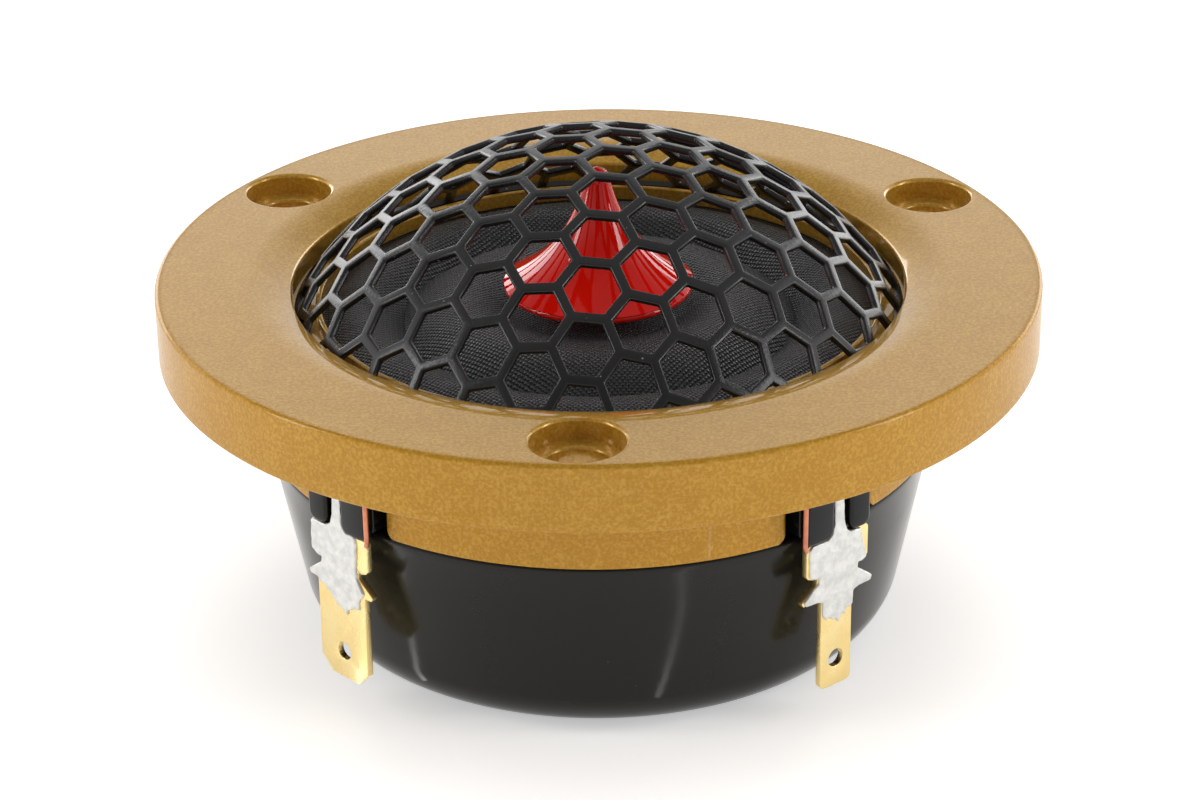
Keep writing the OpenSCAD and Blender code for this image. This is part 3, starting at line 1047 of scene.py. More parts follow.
@dataclass
class Faceplate:
    """The bronze flange with its rolled lip, screw holes and notched spigot ring."""

    outer_r: float = 31.0
    thick: float = 4.8
    edge_r: float = 0.3
    roll_start_r: float = 24.7
    roll_angle: float = 28.0
    corner_r: float = 0.35
    opening_r: float = 21.5
    bore_r: float = 19.5
    ring_w: float = 0.4
    ring_top: float = 2.9
    lip_floor: float = 2.4
    lip_under: float = 1.75
    recess_r: float = 21.0
    spigot_r: float = 24.0
    spigot_in: float = 22.6
    spigot_low: float = -6.4
    relief_r: float = 25.65
    relief_t: float = 0.2
    small_r: float = 0.12
    fillet: float = 0.2
    hole_circle_r: float = 27.25
    hole_r: float = 2.15
    head_r: float = 3.075
    head_depth: float = 1.6
    head_round: float = 0.27
    floor_corner: Point = (0.15, 0.04)
    hole_round: float = 0.3
    notch_half: float = 3.88
    notch_round: float = 0.8

    def profile(self) -> list[Point]:
        """The flange's section.

        Returns:
            (radius, height) points around the section.
        """
        slope = math.radians(self.roll_angle)
        reached = self.roll_start_r - self.opening_r - self.corner_r * (1 - math.sin(slope))
        roll_r = reached / math.sin(slope)
        turn = self.roll_angle + 90
        centre = (self.roll_start_r, self.thick - roll_r)
        tip = arc(centre, roll_r, turn, turn, 1)[0]
        reach = math.radians(turn)
        corner = (tip[0] - self.corner_r * math.cos(reach), tip[1] - self.corner_r * math.sin(reach))
        s, f = self.small_r, self.fillet
        return [
            (self.bore_r, self.lip_under + s), (self.bore_r, self.ring_top - s),
            *arc((self.bore_r + s, self.ring_top - s), s, 180, 90, 3)[1:],
            *arc((self.bore_r + self.ring_w - s, self.ring_top - s), s, 90, 0, 3),
            (self.bore_r + self.ring_w, self.lip_floor), (self.opening_r, self.lip_floor),
            *arc(corner, self.corner_r, 180, turn, 8),
            *arc(centre, roll_r, turn, 90, 20)[1:],
            (self.roll_start_r + 2 * f, self.thick), (self.outer_r - self.edge_r - f, self.thick),
            *arc((self.outer_r - self.edge_r, self.thick - self.edge_r), self.edge_r, 90, 0, 8),
            (self.outer_r, self.thick - self.edge_r - f), (self.outer_r, 2 * f),
            *arc((self.outer_r - f, f), f, 0, -90, 4),
            (self.outer_r - 2 * f, 0.0), (self.relief_r, 0.0), (self.relief_r, self.relief_t),
            *arc((self.spigot_r + f, self.relief_t - f), f, 90, 180, 4),
            (self.spigot_r, -2 * f), (self.spigot_r, self.spigot_low + 2 * f),
            *arc((self.spigot_r - f, self.spigot_low + f), f, 0, -90, 4),
            *arc((self.spigot_in + s, self.spigot_low + s), s, -90, -180, 3),
            (self.spigot_in, self.relief_t), (self.recess_r, self.relief_t), (self.recess_r, self.lip_under),
            (self.bore_r + s, self.lip_under),
        ]

    def hole_tool(self, turn: float) -> bpy.types.Mesh:
        """The tool for one screw hole with its head recess.

        Args:
            turn: the hole's angle about the axis, in degrees.

        Returns:
            The tool.
        """
        floor_z = self.thick - self.head_depth
        rim_r = self.head_r + self.head_round
        wide, narrow = self.floor_corner
        tool = lathe(
            "hole_tool",
            [
                (0.0, -1.0), (self.hole_r, -1.0), (self.hole_r, floor_z - self.hole_round),
                *arc((self.hole_r + self.hole_round, floor_z - self.hole_round), self.hole_round, 180, 90, 6),
                (self.head_r - wide, floor_z), (self.head_r - narrow, floor_z + narrow),
                (self.head_r, floor_z + wide),
                *arc((rim_r, self.thick - self.head_round), self.head_round, 180, 90, 6),
                (rim_r, self.thick + 1.0), (0.0, self.thick + 1.0),
            ],
            96,
        )
        outward = Matrix.Translation((0.0, -self.hole_circle_r, 0.0))
        tool.transform(Matrix.Rotation(math.radians(turn), 4, "Z") @ outward)
        return tool

    def notch_tool(self, side: Side) -> bpy.types.Mesh:
        """The tool for one terminal notch, with flared lower corners.

        Args:
            side: the terminal.

        Returns:
            The tool.
        """
        low, flare = self.spigot_low, self.notch_half + self.notch_round
        half = [
            (self.notch_half, self.relief_t - 0.01),
            *arc((flare, low + self.notch_round), self.notch_round, 180, 270, 10),
            (flare, low - 1.0),
        ]
        outline = [*half, *[(-x, z) for x, z in reversed(half)]]
        build = bmesh.new()
        near, far = (
            build.faces.new([build.verts.new((x, y, z)) for x, z in outline])
            for y in (-self.spigot_in + 2.0, -self.spigot_r - 2.0)
        )
        ring = list(zip(near.verts, far.verts))
        for (a, b), (c, d) in zip(ring, ring[1:] + ring[:1]):
            build.faces.new([a, c, d, b])
        tool = finish_mesh("notch_tool", build, 30.0)
        tool.transform(at_terminal(side))
        return tool

    def build(self, finishes: Finishes) -> None:
        """Builds and dresses the faceplate.

        Args:
            finishes: the object's materials.
        """
        body = lathe("faceplate", self.profile(), 360)
        tools = [self.hole_tool(turn) for turn in (0, 120, 240)] + [self.notch_tool(side) for side in Side]
        make_piece("flange", carved(body, tools), finishes.bronze, ["faceplate"])


@dataclass
class Grille:
    """The pressed dome of honeycomb mesh."""

    sphere_r: float = 25.74
    crown_z: float = 13.92
    thick: float = 0.5
    foot_z: float = 2.4
    rim_h: float = 0.4
    pitch: float = 4.36
    bar: float = 0.74
    turn: float = math.radians(-4.4)
    offset: tuple[float, float, float] = (1.38, -2.14, 0.0)
    press_r: float = 26.3
    reach: float = 29.0
    across: int = 21
    edge: float = 0.2
    sink: float = 0.05

    def tree(self) -> bpy.types.NodeTree:
        """The geometry tree: a flat honeycomb sheet, pressed into a dome.

        Returns:
            The tree.
        """
        takes = {
            "Across": ("NodeSocketInt", self.across), "Pitch": (FLOAT, 1.0), "Bar": (FLOAT, 0.1),
            "Turn": (FLOAT, 0.0), "Offset": (VECTOR, None), "Press radius": (FLOAT, 10.0),
            "Sphere radius": (FLOAT, 10.0), "Crown": (FLOAT, 1.0), "Reach": (FLOAT, 10.0),
            "Material": ("NodeSocketMaterial", None),
        }
        nodes, given, out = new_group("honeycomb dome", takes, GIVES_MESH, "GeometryNodeTree")
        pitch = given["Pitch"]
        span = nodes.math("SUBTRACT", given["Across"], 1.0)
        grid = nodes.add("GeometryNodeMeshGrid", {
            "Size X": span, "Size Y": span, "Vertices X": given["Across"], "Vertices Y": given["Across"]})
        here = nodes.add("GeometryNodeInputPosition").outputs[0]
        i, j, _ = nodes.add("ShaderNodeSeparateXYZ", {"Vector": here}).outputs
        x = nodes.math("MULTIPLY", nodes.math("MULTIPLY", i, math.sqrt(3) / 2), pitch)
        y = nodes.math("MULTIPLY", nodes.math("MULTIPLY_ADD", i, 0.5, j), pitch)
        skewed = nodes.add("ShaderNodeCombineXYZ", {"X": x, "Y": y}).outputs[0]
        lattice = nodes.add("GeometryNodeSetPosition", {
            "Geometry": grid.outputs["Mesh"], "Position": skewed})
        far = nodes.math("GREATER_THAN", self.length(nodes, self.placed(nodes, given)), given["Reach"])
        kept = nodes.add("GeometryNodeDeleteGeometry", {
            "Geometry": lattice.outputs[0], "Selection": far}, domain="POINT")
        cell_r = nodes.math("DIVIDE", pitch, math.sqrt(3))
        cell = nodes.add("GeometryNodeMeshCircle", {"Vertices": 6, "Radius": cell_r}, fill_type="NGON")
        copies = nodes.add("GeometryNodeInstanceOnPoints", {
            "Points": kept.outputs[0], "Instance": cell.outputs[0]})
        real = nodes.add("GeometryNodeRealizeInstances", {"Geometry": copies.outputs[0]})
        sheet = nodes.add("GeometryNodeMergeByDistance", {"Geometry": real.outputs[0], "Distance": 0.01})
        inset = nodes.add("GeometryNodeExtrudeMesh", {
            "Mesh": sheet.outputs[0], "Offset Scale": 0.0, "Individual": True}, mode="FACES")
        hole = inset.outputs["Top"]
        share = nodes.math("SUBTRACT", 1.0, nodes.math("DIVIDE", given["Bar"], pitch))
        shrunk = nodes.add("GeometryNodeScaleElements", {
            "Geometry": inset.outputs[0], "Selection": hole, "Scale": share}, domain="FACE")
        open_cells = nodes.add("GeometryNodeDeleteGeometry", {
            "Geometry": shrunk.outputs[0], "Selection": hole}, domain="FACE")
        dome = nodes.add("GeometryNodeSetPosition", {
            "Geometry": open_cells.outputs[0], "Position": self.domed(nodes, given)})
        end_tree(nodes, dome.outputs[0], given, out)
        return nodes.tree

    @staticmethod
    def length(nodes: Nodes, vector: Socket) -> Socket:
        """The length of a vector."""
        return nodes.add("ShaderNodeVectorMath", {0: vector}, operation="LENGTH").outputs["Value"]

    @staticmethod
    def placed(nodes: Nodes, given: dict[str, Socket]) -> Socket:
        """Where a point of the flat sheet lies after its turn and offset.

        Args:
            nodes: the tree's nodes.
            given: the tree's inputs.

        Returns:
            The position's socket.
        """
        here = nodes.add("GeometryNodeInputPosition").outputs[0]
        turn = {"Vector": here, "Angle": given["Turn"]}
        turned = nodes.add("ShaderNodeVectorRotate", turn, rotation_type="Z_AXIS").outputs[0]
        return nodes.add("ShaderNodeVectorMath", {0: turned, 1: given["Offset"]}, operation="ADD").outputs[0]

    def domed(self, nodes: Nodes, given: dict[str, Socket]) -> Socket:
        """Where pressing the sheet over the sphere moves a point.

        Args:
            nodes: the tree's nodes.
            given: the tree's inputs.

        Returns:
            The position's socket.
        """
        flat, press_r, sphere_r = self.placed(nodes, given), given["Press radius"], given["Sphere radius"]
        radius = nodes.math("MAXIMUM", self.length(nodes, flat), 0.0001)
        drawn = nodes.math("MULTIPLY", nodes.math("SINE", nodes.math("DIVIDE", radius, press_r)), press_r)
        squeeze = {0: flat, "Scale": nodes.math("DIVIDE", drawn, radius)}
        plan = nodes.add("ShaderNodeVectorMath", squeeze, operation="SCALE").outputs[0]
        x, y, _ = nodes.add("ShaderNodeSeparateXYZ", {"Vector": plan}).outputs
        squares = [nodes.math("MULTIPLY", length, length) for length in (sphere_r, drawn)]
        room = nodes.math("SUBTRACT", *squares)
        rise = nodes.math("SQRT", nodes.math("MAXIMUM", room, 1.0))
        z = nodes.math("ADD", rise, nodes.math("SUBTRACT", given["Crown"], sphere_r))
        return nodes.add("ShaderNodeCombineXYZ", {"X": x, "Y": y, "Z": z}).outputs[0]

    def rim(self) -> bpy.types.Mesh:
        """The plain rim at the dome's foot.

        Returns:
            A thin turned ring in the dome's thickness.
        """
        centre_z = self.crown_z - self.sphere_r
        heights = (self.foot_z, self.foot_z + self.rim_h)
        low, high = (math.degrees(math.asin((z - centre_z) / self.sphere_r)) for z in heights)
        outer = arc((0.0, centre_z), self.sphere_r - self.sink, low, high, 3)
        inner = arc((0.0, centre_z), self.sphere_r - self.thick + self.sink, high, low, 3)
        inner[-1] = (inner[-1][0], self.foot_z)
        outer[0] = (outer[0][0], self.foot_z)
        return lathe("rim", [*outer, *inner], 240)

    def build(self, finishes: Finishes) -> None:
        """Builds and dresses the grille.

        Args:
            finishes: the object's materials.
        """
        holder = helper(bpy.data.meshes.new("sheet"))
        run_tree(holder, "press", self.tree(), {
            "Across": self.across, "Pitch": self.pitch, "Bar": self.bar, "Turn": self.turn,
            "Offset": self.offset, "Press radius": self.press_r, "Sphere radius": self.sphere_r,
            "Crown": self.crown_z, "Reach": self.reach, "Material": finishes.grille,
        })
        wall = holder.modifiers.new("wall", "SOLIDIFY")
        wall.thickness, wall.offset, wall.use_even_offset = self.thick, -1.0, True
        soft = holder.modifiers.new("soft", "BEVEL")
        soft.width, soft.segments = self.edge, 3
        soft.limit_method, soft.angle_limit = "ANGLE", math.radians(35)
        build = bmesh.new()
        build.from_mesh(flattened(holder))
        cut = bmesh.ops.bisect_plane(
            build, geom=[*build.verts, *build.edges, *build.faces],
            plane_co=(0, 0, self.foot_z), plane_no=(0, 0, 1), clear_inner=True,
        )
        edges = [e for e in cut["geom_cut"] if isinstance(e, bmesh.types.BMEdge)]
        bmesh.ops.holes_fill(build, edges=edges, sides=0)
        build.from_mesh(self.rim())
        mesh = finish_mesh("dome", build, 60.0, recalculate=False)
        make_piece("honeycomb_dome", mesh, finishes.grille, ["grille"])


@dataclass
class PhasePlug:
    """The flared red cone with its blunt tip."""

    skirt_r: float = 6.65
    skirt_z: float = 3.8
    skirt_round: float = 0.25
    skirt_t: float = 0.7
    flare_h: float = 3.81
    top_z: float = 12.3
    tip_r: float = 0.8
    foot_r: float = 3.5
    foot_z: float = 2.1
    bore_r: float = 1.25
    bore_top: float = 6.0

    def flare_r(self, z: float) -> float:
        """The flare's radius at a height."""
        return self.skirt_r * math.exp(-(z - self.skirt_z) / self.flare_h)

    def build(self, finishes: Finishes) -> None:
        """Builds and dresses the plug.

        Args:
            finishes: the object's materials.
        """
        blunt_z = self.top_z - self.tip_r
        heights = [self.skirt_z + (blunt_z - self.skirt_z) * i / 48 for i in range(49)]
        flare = [(self.flare_r(z), z) for z in heights]
        tip = [(self.flare_r(blunt_z) * math.cos(a), blunt_z + self.tip_r * math.sin(a))
               for a in (math.pi / 2 * k / 10 for k in range(1, 10))]
        centre = (self.skirt_r - self.skirt_round, self.skirt_z - self.skirt_round)
        skirt = arc(centre, self.skirt_round, -90, 55, 8)
        profile = [
            (self.bore_r, self.foot_z), (self.foot_r, self.foot_z),
            (self.foot_r, self.skirt_z - self.skirt_t),
            *skirt, *flare, *tip, (0.0, self.top_z), (0.0, self.bore_top), (self.bore_r, self.bore_top),
        ]
        make_piece("phase_cone", lathe("cone", profile, 256, 50.0), finishes.red, ["phase_plug"])


@dataclass
class Diaphragm:
    """The woven ring with its inner and outer rolls, and the coil that drives it."""

    hole_r: float = 2.0
    inner_r: float = 6.3
    inner_z: float = 2.1
    groove_r: float = 13.83
    groove_z: float = 1.0
    outer_r: float = 19.2
    rim_r: float = 20.8
    rim_z: float = 1.75
    inner_rise: float = 1.35
    outer_rise: float = 1.1
    thick: float = 0.25
    steps: int = 44
    still_z: float = 1.45
    moving_z: float = 0.95
    wire_r: float = 0.14
    wind_r: float = 14.09
    wind_low: float = -3.88
    wind_h: float = 2.36
    turns: float = 8.0

    @staticmethod
    def roll(start: Point, end: Point, rise: float, steps: int) -> list[Point]:
        """A half roll between two points of the cloth.

        Args:
            start: (radius, height) where it starts.
            end: (radius, height) where it ends.
            rise: how far it stands above the straight line.
            steps: the number of spans.

        Returns:
            The roll's points.
        """
        out, up = end[0] - start[0], end[1] - start[1]
        shares = [i / steps for i in range(steps + 1)]
        return [(start[0] + out * t, start[1] + up * t + rise * math.sin(math.pi * t)) for t in shares]

    def cloth(self, finishes: Finishes) -> None:
        """Builds and dresses the woven ring.

        Args:
            finishes: the object's materials.
        """
        groove = (self.groove_r, self.groove_z)
        top = [
            (self.hole_r, self.inner_z),
            *self.roll((self.inner_r, self.inner_z), groove, self.inner_rise, self.steps),
            *self.roll(groove, (self.outer_r, self.rim_z), self.outer_rise, self.steps)[1:],
            (self.rim_r, self.rim_z),
        ]
        under = [(r, z - self.thick) for r, z in reversed(top)]
        mesh = lathe("cloth", [*top, *under], 300, 50.0)
        ring = make_piece("woven_ring", mesh, finishes.cloth, ["diaphragm"], None)
        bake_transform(ring)

    def winding(self, finishes: Finishes) -> None:
        """Winds the coil as a helix of enamelled wire.

        Args:
            finishes: the object's materials.
        """
        takes = {
            "Turns": (FLOAT, 8.0), "Radius": (FLOAT, 10.0), "Height": (FLOAT, 1.0),
            "Wire radius": (FLOAT, 0.1), "Material": ("NodeSocketMaterial", None),
        }
        nodes, given, out = new_group("coil winding", takes, GIVES_MESH, "GeometryNodeTree")
        helix = nodes.add("GeometryNodeCurveSpiral", {
            "Resolution": 96, "Rotations": given["Turns"], "Start Radius": given["Radius"],
            "End Radius": given["Radius"], "Height": given["Height"]})
        section = nodes.add("GeometryNodeCurvePrimitiveCircle", {
            "Resolution": 10, "Radius": given["Wire radius"]})
        wire = nodes.add("GeometryNodeCurveToMesh", {
            "Curve": helix.outputs[0], "Profile Curve": section.outputs[0], "Fill Caps": True})
        end_tree(nodes, wire.outputs[0], given, out)
        holder = helper(bpy.data.meshes.new("winding"))
        run_tree(holder, "wind", nodes.tree, {
            "Turns": self.turns, "Radius": self.wind_r, "Height": self.wind_h - 2 * self.wire_r,
            "Wire radius": self.wire_r, "Material": finishes.enamel,
        })
        build = bmesh.new()
        build.from_mesh(flattened(holder))
        bmesh.ops.remove_doubles(build, verts=build.verts, dist=0.0005)
        bmesh.ops.translate(build, verts=build.verts, vec=(0, 0, self.wind_low + self.wire_r))
        mesh = finish_mesh("wire", build, 60.0)
        make_piece("coil_wire", mesh, finishes.enamel, ["coil_winding"], "voice_coil")

    def build(self, finishes: Finishes) -> None:
        """Builds the ring and its coil.

        Args:
            finishes: the object's materials.
        """
        self.cloth(finishes)
        self.winding(finishes)


@dataclass
class Terminal:
    """One push-on tab with its lugs, solder and lead wire, drawn at the front and turned."""

    angle: ClassVar[float] = 42.7

    side: Side
    half_width: float
    chamfer: float
    drop: float
    inner_y: float = 24.2
    thick: float = 0.5
    edge: float = 0.06
    tip_z: float = -18.15
    hole_r: float = 0.65
    hole_up: float = 2.1
    neck_half: float = 0.5
    top_z: float = -0.9
    lug_half: float = 3.1
    lug_in: float = 22.75
    lug_out: float = 25.0
    lug_low: float = -6.6
    lug_round: float = 0.7
    lug_edge: float = 0.28
    lug_top: float = 0.18
    trim: float = 0.35
    lug_gap: float = 0.02
    base_rise: float = 0.3
    base_lap: float = 0.1
    base_edge: float = 0.12
    slot_half: float = 0.55
    skin_t: float = 0.30
    skin_edge: float = 0.05
    skin_voxel: float = 0.075
    skin_lift: float = 0.02
    lump: float = 0.05
    ripple: float = 0.025
    swell: float = 0.10
    sway: float = 0.03
    wire_r: float = 0.175
    wire_x: float = 3.3
    still_r: float = 19.0
    moving_r: float = 15.0

    def half_outline(self) -> list[Point]:
        """The tab's right half from the buried top down to the tip.

        Returns:
            The points.
        """
        half = self.half_width
        tip = (
            [(half, self.tip_z + self.chamfer), (half - self.chamfer, self.tip_z)]
            if self.side is Side.POSITIVE
            else arc((half - self.chamfer, self.tip_z + self.chamfer), self.chamfer, 0, -90, 6)
        )
        return [
            (self.neck_half, self.top_z), (self.neck_half, -5.9), (0.62, -6.35), (0.95, -6.65),
            (2.62, -6.65), (2.8, -6.85), (2.8, -8.95), (2.66, -9.14), (2.2, -9.33), (1.9, -9.25),
            (1.75, -9.15), (1.78, -9.5), (1.95, -9.85), (3.1, -10.66), (3.2, -10.85), (3.05, -11.08),
            (half + 0.12, -11.1), (half, -11.22), *tip,
        ]

    def tab(self, finishes: Finishes) -> None:
        """Builds and dresses the gold tab.

        Args:
            finishes: the object's materials.
        """
        right = self.half_outline()
        outline = [*right, *[(-x, z) for x, z in reversed(right)]]
        hole = arc((0.0, self.tip_z + self.hole_up), self.hole_r, 0, -360, 36)[:-1]
        mesh = plate("tab", [outline, hole], self.thick, self.edge)
        self.place(mesh, -self.inner_y - self.thick / 2)
        word = self.side.word
        make_piece(f"tab_{word}", mesh, finishes.gold, [f"terminal_{word}"])

    def place(self, mesh: bpy.types.Mesh, y: float) -> None:
        """Moves a mesh drawn about Y 0 out to a distance and turns it to the terminal.

        Args:
            mesh: the mesh.
            y: where its middle goes.
        """
        mesh.transform(at_terminal(self.side) @ Matrix.Translation((0.0, y, 0.0)))

    def tongue(self, left: float, right: float, low: float) -> list[Point]:
        """An upright bar with round lower corners, from the flange down.

        Args:
            left: its left side.
            right: its right side.
            low: its lowest height.

        Returns:
            The outline.
        """
        r = self.lug_round
        return [
            (left, self.lug_top), (right, self.lug_top),
            *arc((right - r, low + r), r, 0, -90, 6), *arc((left + r, low + r), r, -90, -180, 6),
        ]

    def lugs(self, finishes: Finishes) -> None:
        """Builds and dresses the two black lugs beside the neck.

        Args:
            finishes: the object's materials.
        """
        deep = self.inner_y - self.lug_gap
        behind = deep + self.base_lap
        inner = -self.side.value
        bars = [
            (inner, self.slot_half, self.lug_half),
            (-inner, self.slot_half + self.trim, self.lug_half - self.trim),
        ]
        build = bmesh.new()
        for sign, near, far in bars:
            outline = [(sign * x, z) for x, z in self.tongue(near, far, self.lug_low)]
            mesh = plate("lug", [outline], self.lug_out - deep, self.lug_edge)
            mesh.transform(Matrix.Translation((0.0, -(self.lug_out + deep) / 2, 0.0)))
            build.from_mesh(mesh)
        outline = self.tongue(-self.lug_half, self.lug_half, self.lug_low + self.base_rise)
        base = plate("base", [outline], behind - self.lug_in, self.base_edge)
        base.transform(Matrix.Translation((0.0, -(self.lug_in + behind) / 2, 0.0)))
        build.from_mesh(base)
        mesh = finish_mesh("lugs", build, 35.0)
        mesh.transform(at_terminal(self.side))
        word = self.side.word
        make_piece(f"lugs_{word}", mesh, finishes.lug, [f"terminal_holder_{word}"])

    def solder_outline(self) -> list[Point]:
        """The ragged outline of the solder over the neck, shoulders and barbs.

        Returns:
            The points.
        """
        if self.side is Side.POSITIVE:
            return [
                (-0.42, self.top_z), (0.42, self.top_z), (0.46, -5.6), (0.60, -6.2), (1.0, -6.55),
                (1.75, -6.62), (1.85, -7.3), (1.80, -8.3), (1.72, -9.0), (1.78, -9.7), (2.1, -10.2),
                (2.45, -10.75), (2.3, -11.0), (2.05, -11.25), (1.9, -11.65), (1.95, -12.1), (1.6, -12.25),
                (1.5, -12.0), (1.3, -12.35), (1.15, -12.1), (1.0, -12.5), (0.75, -12.45),
                (0.6, -self.drop - 0.3), (0.35, -12.75), (0.0, -12.55), (-0.35, -12.6), (-0.5, -12.2),
                (-0.85, -12.1), (-1.0, -11.75), (-1.35, -11.75), (-1.6, -11.35), (-1.95, -11.45),
                (-2.35, -11.05), (-3.0, -11.05), (-3.2, -10.75), (-2.4, -10.15), (-1.8, -9.7),
                (-1.75, -9.3), (-2.2, -9.33), (-2.75, -9.0), (-2.78, -6.9), (-2.6, -6.66), (-1.2, -6.62),
                (-0.62, -6.3), (-0.46, -5.6),
            ]
        return [
            (-0.42, self.top_z), (0.42, self.top_z), (0.46, -5.6), (0.65, -6.3), (1.0, -6.62), (2.0, -6.7),
            (2.15, -7.4), (2.5, -8.6), (2.6, -9.1), (2.1, -9.3), (1.75, -9.2), (1.8, -9.7), (2.5, -10.2),
            (3.15, -10.7), (3.0, -11.05), (1.9, -11.1), (1.42, -11.25), (1.38, -12.2), (1.1, -12.45),
            (0.9, -12.3), (0.6, -12.85), (0.35, -12.6), (0.1, -self.drop), (-0.15, -12.85), (-0.5, -12.9),
            (-0.8, -12.6), (-1.1, -12.75), (-1.35, -12.3), (-1.38, -11.3), (-1.9, -11.1), (-2.9, -11.1),
            (-3.1, -10.7), (-2.4, -10.1), (-1.78, -9.7), (-1.72, -9.25), (-2.1, -9.3), (-2.6, -9.0),
            (-2.65, -6.9), (-2.4, -6.66), (-1.1, -6.64), (-0.64, -6.3), (-0.46, -5.6),
        ]

    def solder(self, finishes: Finishes) -> None:
        """Builds and dresses the solder: a thin, lumpy skin over the tab.

        Args:
            finishes: the object's materials.
        """
        face_y = -(self.inner_y + self.thick)
        skin = plate("solder", [self.solder_outline()], self.skin_t, self.skin_edge)
        holder = helper(skin)
        remesh = holder.modifiers.new("even", "REMESH")
        remesh.mode, remesh.voxel_size = "VOXEL", self.skin_voxel
        build = bmesh.new()
        build.from_mesh(flattened(holder))
        for vert in build.verts:
            x, y, z = vert.co
            front = min(1.0, max(0.0, (0.02 - y) / 0.1))
            lump = noise.noise(Vector((x * 0.9, z * 0.9, self.side.value * 3.0)))
            ripple = noise.noise(Vector((x * 3.1, z * 3.1, self.side.value * 7.0)))
            swell = self.swell * math.exp(-((z + 7.6) / 2.2) ** 2) * math.exp(-(x / 1.5) ** 2)
            vert.co.y -= front * (self.lump * lump + self.ripple * ripple + swell)
            vert.co.x += self.sway * noise.noise(Vector((z * 2.3, y * 2.0, 5.0)))
        bmesh.ops.smooth_vert(
            build, verts=build.verts, factor=0.5, use_axis_x=True, use_axis_y=True, use_axis_z=True)
        mesh = finish_mesh("solder", build, 80.0)
        self.place(mesh, face_y - self.skin_lift)
        word = self.side.word
        make_piece(f"solder_skin_{word}", mesh, finishes.solder, [f"solder_{word}"])

    def lead(self, finishes: Finishes) -> None:
        """Builds the lead wire from the coil to the tab.

        Args:
            finishes: the object's materials.
        """
        s = -self.side.value
        heights = [
            (13.75, -1.1), (13.8, -0.4), (14.1, 0.2), (14.8, 0.5), (15.9, 0.5), (17.2, 0.2),
            (18.4, -0.15), (19.4, -0.31), (20.6, -0.33), (22.6, -0.33), (24.2, -0.33), (24.75, -0.45),
            (25.0, -0.8), (25.05, -1.4), (25.05, -4.0), (25.03, -6.0),
        ]
        points = [(s * self.wire_x, -y, z) for y, z in heights]
        points += [(s * (self.wire_x - 0.08), -24.95, -6.4), (s * (self.wire_x - 0.32), -24.8, -6.8)]
        mesh = tube("lead", smooth_route(points), self.wire_r)
        mesh.transform(at_terminal(self.side))
        word = self.side.word
        replaced = [f"lead_wire_{word}"]
        wire = make_piece(f"lead_{word}", mesh, finishes.enamel, replaced, None)
        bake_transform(wire)

    def build(self, finishes: Finishes) -> None:
        """Builds the tab and everything on it.

        Args:
            finishes: the object's materials.
        """
        self.tab(finishes)
        self.lugs(finishes)
        self.solder(finishes)
        self.lead(finishes)


@dataclass
class RearCup:
    """The closed rear chamber with its felt pad."""

    neck_in: float = 21.05
    neck_r: float = 22.4
    neck_top: float = -0.6
    shoulder_z: float = -6.42
    shoulder_round: float = 0.3
    neck_lap: float = 1.6
    flat_r: float = 15.0
    cup_r: float = 23.75
    taper: float = 0.2
    edge_r: float = 4.0
    wall: float = 1.4
    floor_z: float = -20.8
    floor_t: float = 1.6
    felt_r: float = 17.0
    felt_h: float = 3.0
    felt_gap: float = 0.02

    def cone_r(self, z: float, inside: float) -> float:
        """The tapered wall's radius at a height.

        Args:
            z: the height.
            inside: how far inside the outer face.

        Returns:
            The radius.
        """
        return self.cup_r + self.taper * (z - self.shoulder_z) - inside * math.hypot(1, self.taper)

    def profile(self) -> list[Point]:
        """The cup's section.

        Returns:
            (radius, height) points around the section.
        """
        tilt = -math.degrees(math.atan(self.taper))
        edge_z, inner_floor = self.floor_z + self.edge_r, self.floor_z + self.floor_t
        inner_r = self.edge_r - self.wall
        inner_edge_z = inner_floor + inner_r
        neck_end = self.shoulder_z - self.neck_lap
        straight = [(self.cone_r(z, 0.0), z) for z in (-7.2, -10.0, -13.0, -16.0)]
        s = self.shoulder_round
        return [
            (self.neck_in, self.neck_top), (self.neck_r, self.neck_top), (self.neck_r, self.shoulder_z),
            *arc((self.cup_r - s, self.shoulder_z - s), s, 90, tilt, 6), *straight,
            *arc((self.cone_r(edge_z, self.edge_r), edge_z), self.edge_r, tilt, -90, 24),
            (self.flat_r, self.floor_z), (0.0, self.floor_z), (0.0, inner_floor),
            *arc((self.cone_r(inner_edge_z, self.edge_r), inner_edge_z), inner_r, -90, tilt, 10),
            (self.cone_r(neck_end, self.wall), neck_end), (self.neck_in, neck_end + self.neck_lap / 2),
        ]

    def build(self, finishes: Finishes) -> None:
        """Builds and dresses the cup and its pad.

        Args:
            finishes: the object's materials.
        """
        make_piece("rear_shell", lathe("shell", self.profile(), 320), finishes.cup, ["rear_cup"])
        low = self.floor_z + self.floor_t + self.felt_gap
        pad = felt_disc("pad", self.felt_r, low, low + self.felt_h)
        piece = make_piece("chamber_pad", pad, finishes.felt, ["chamber_felt"])


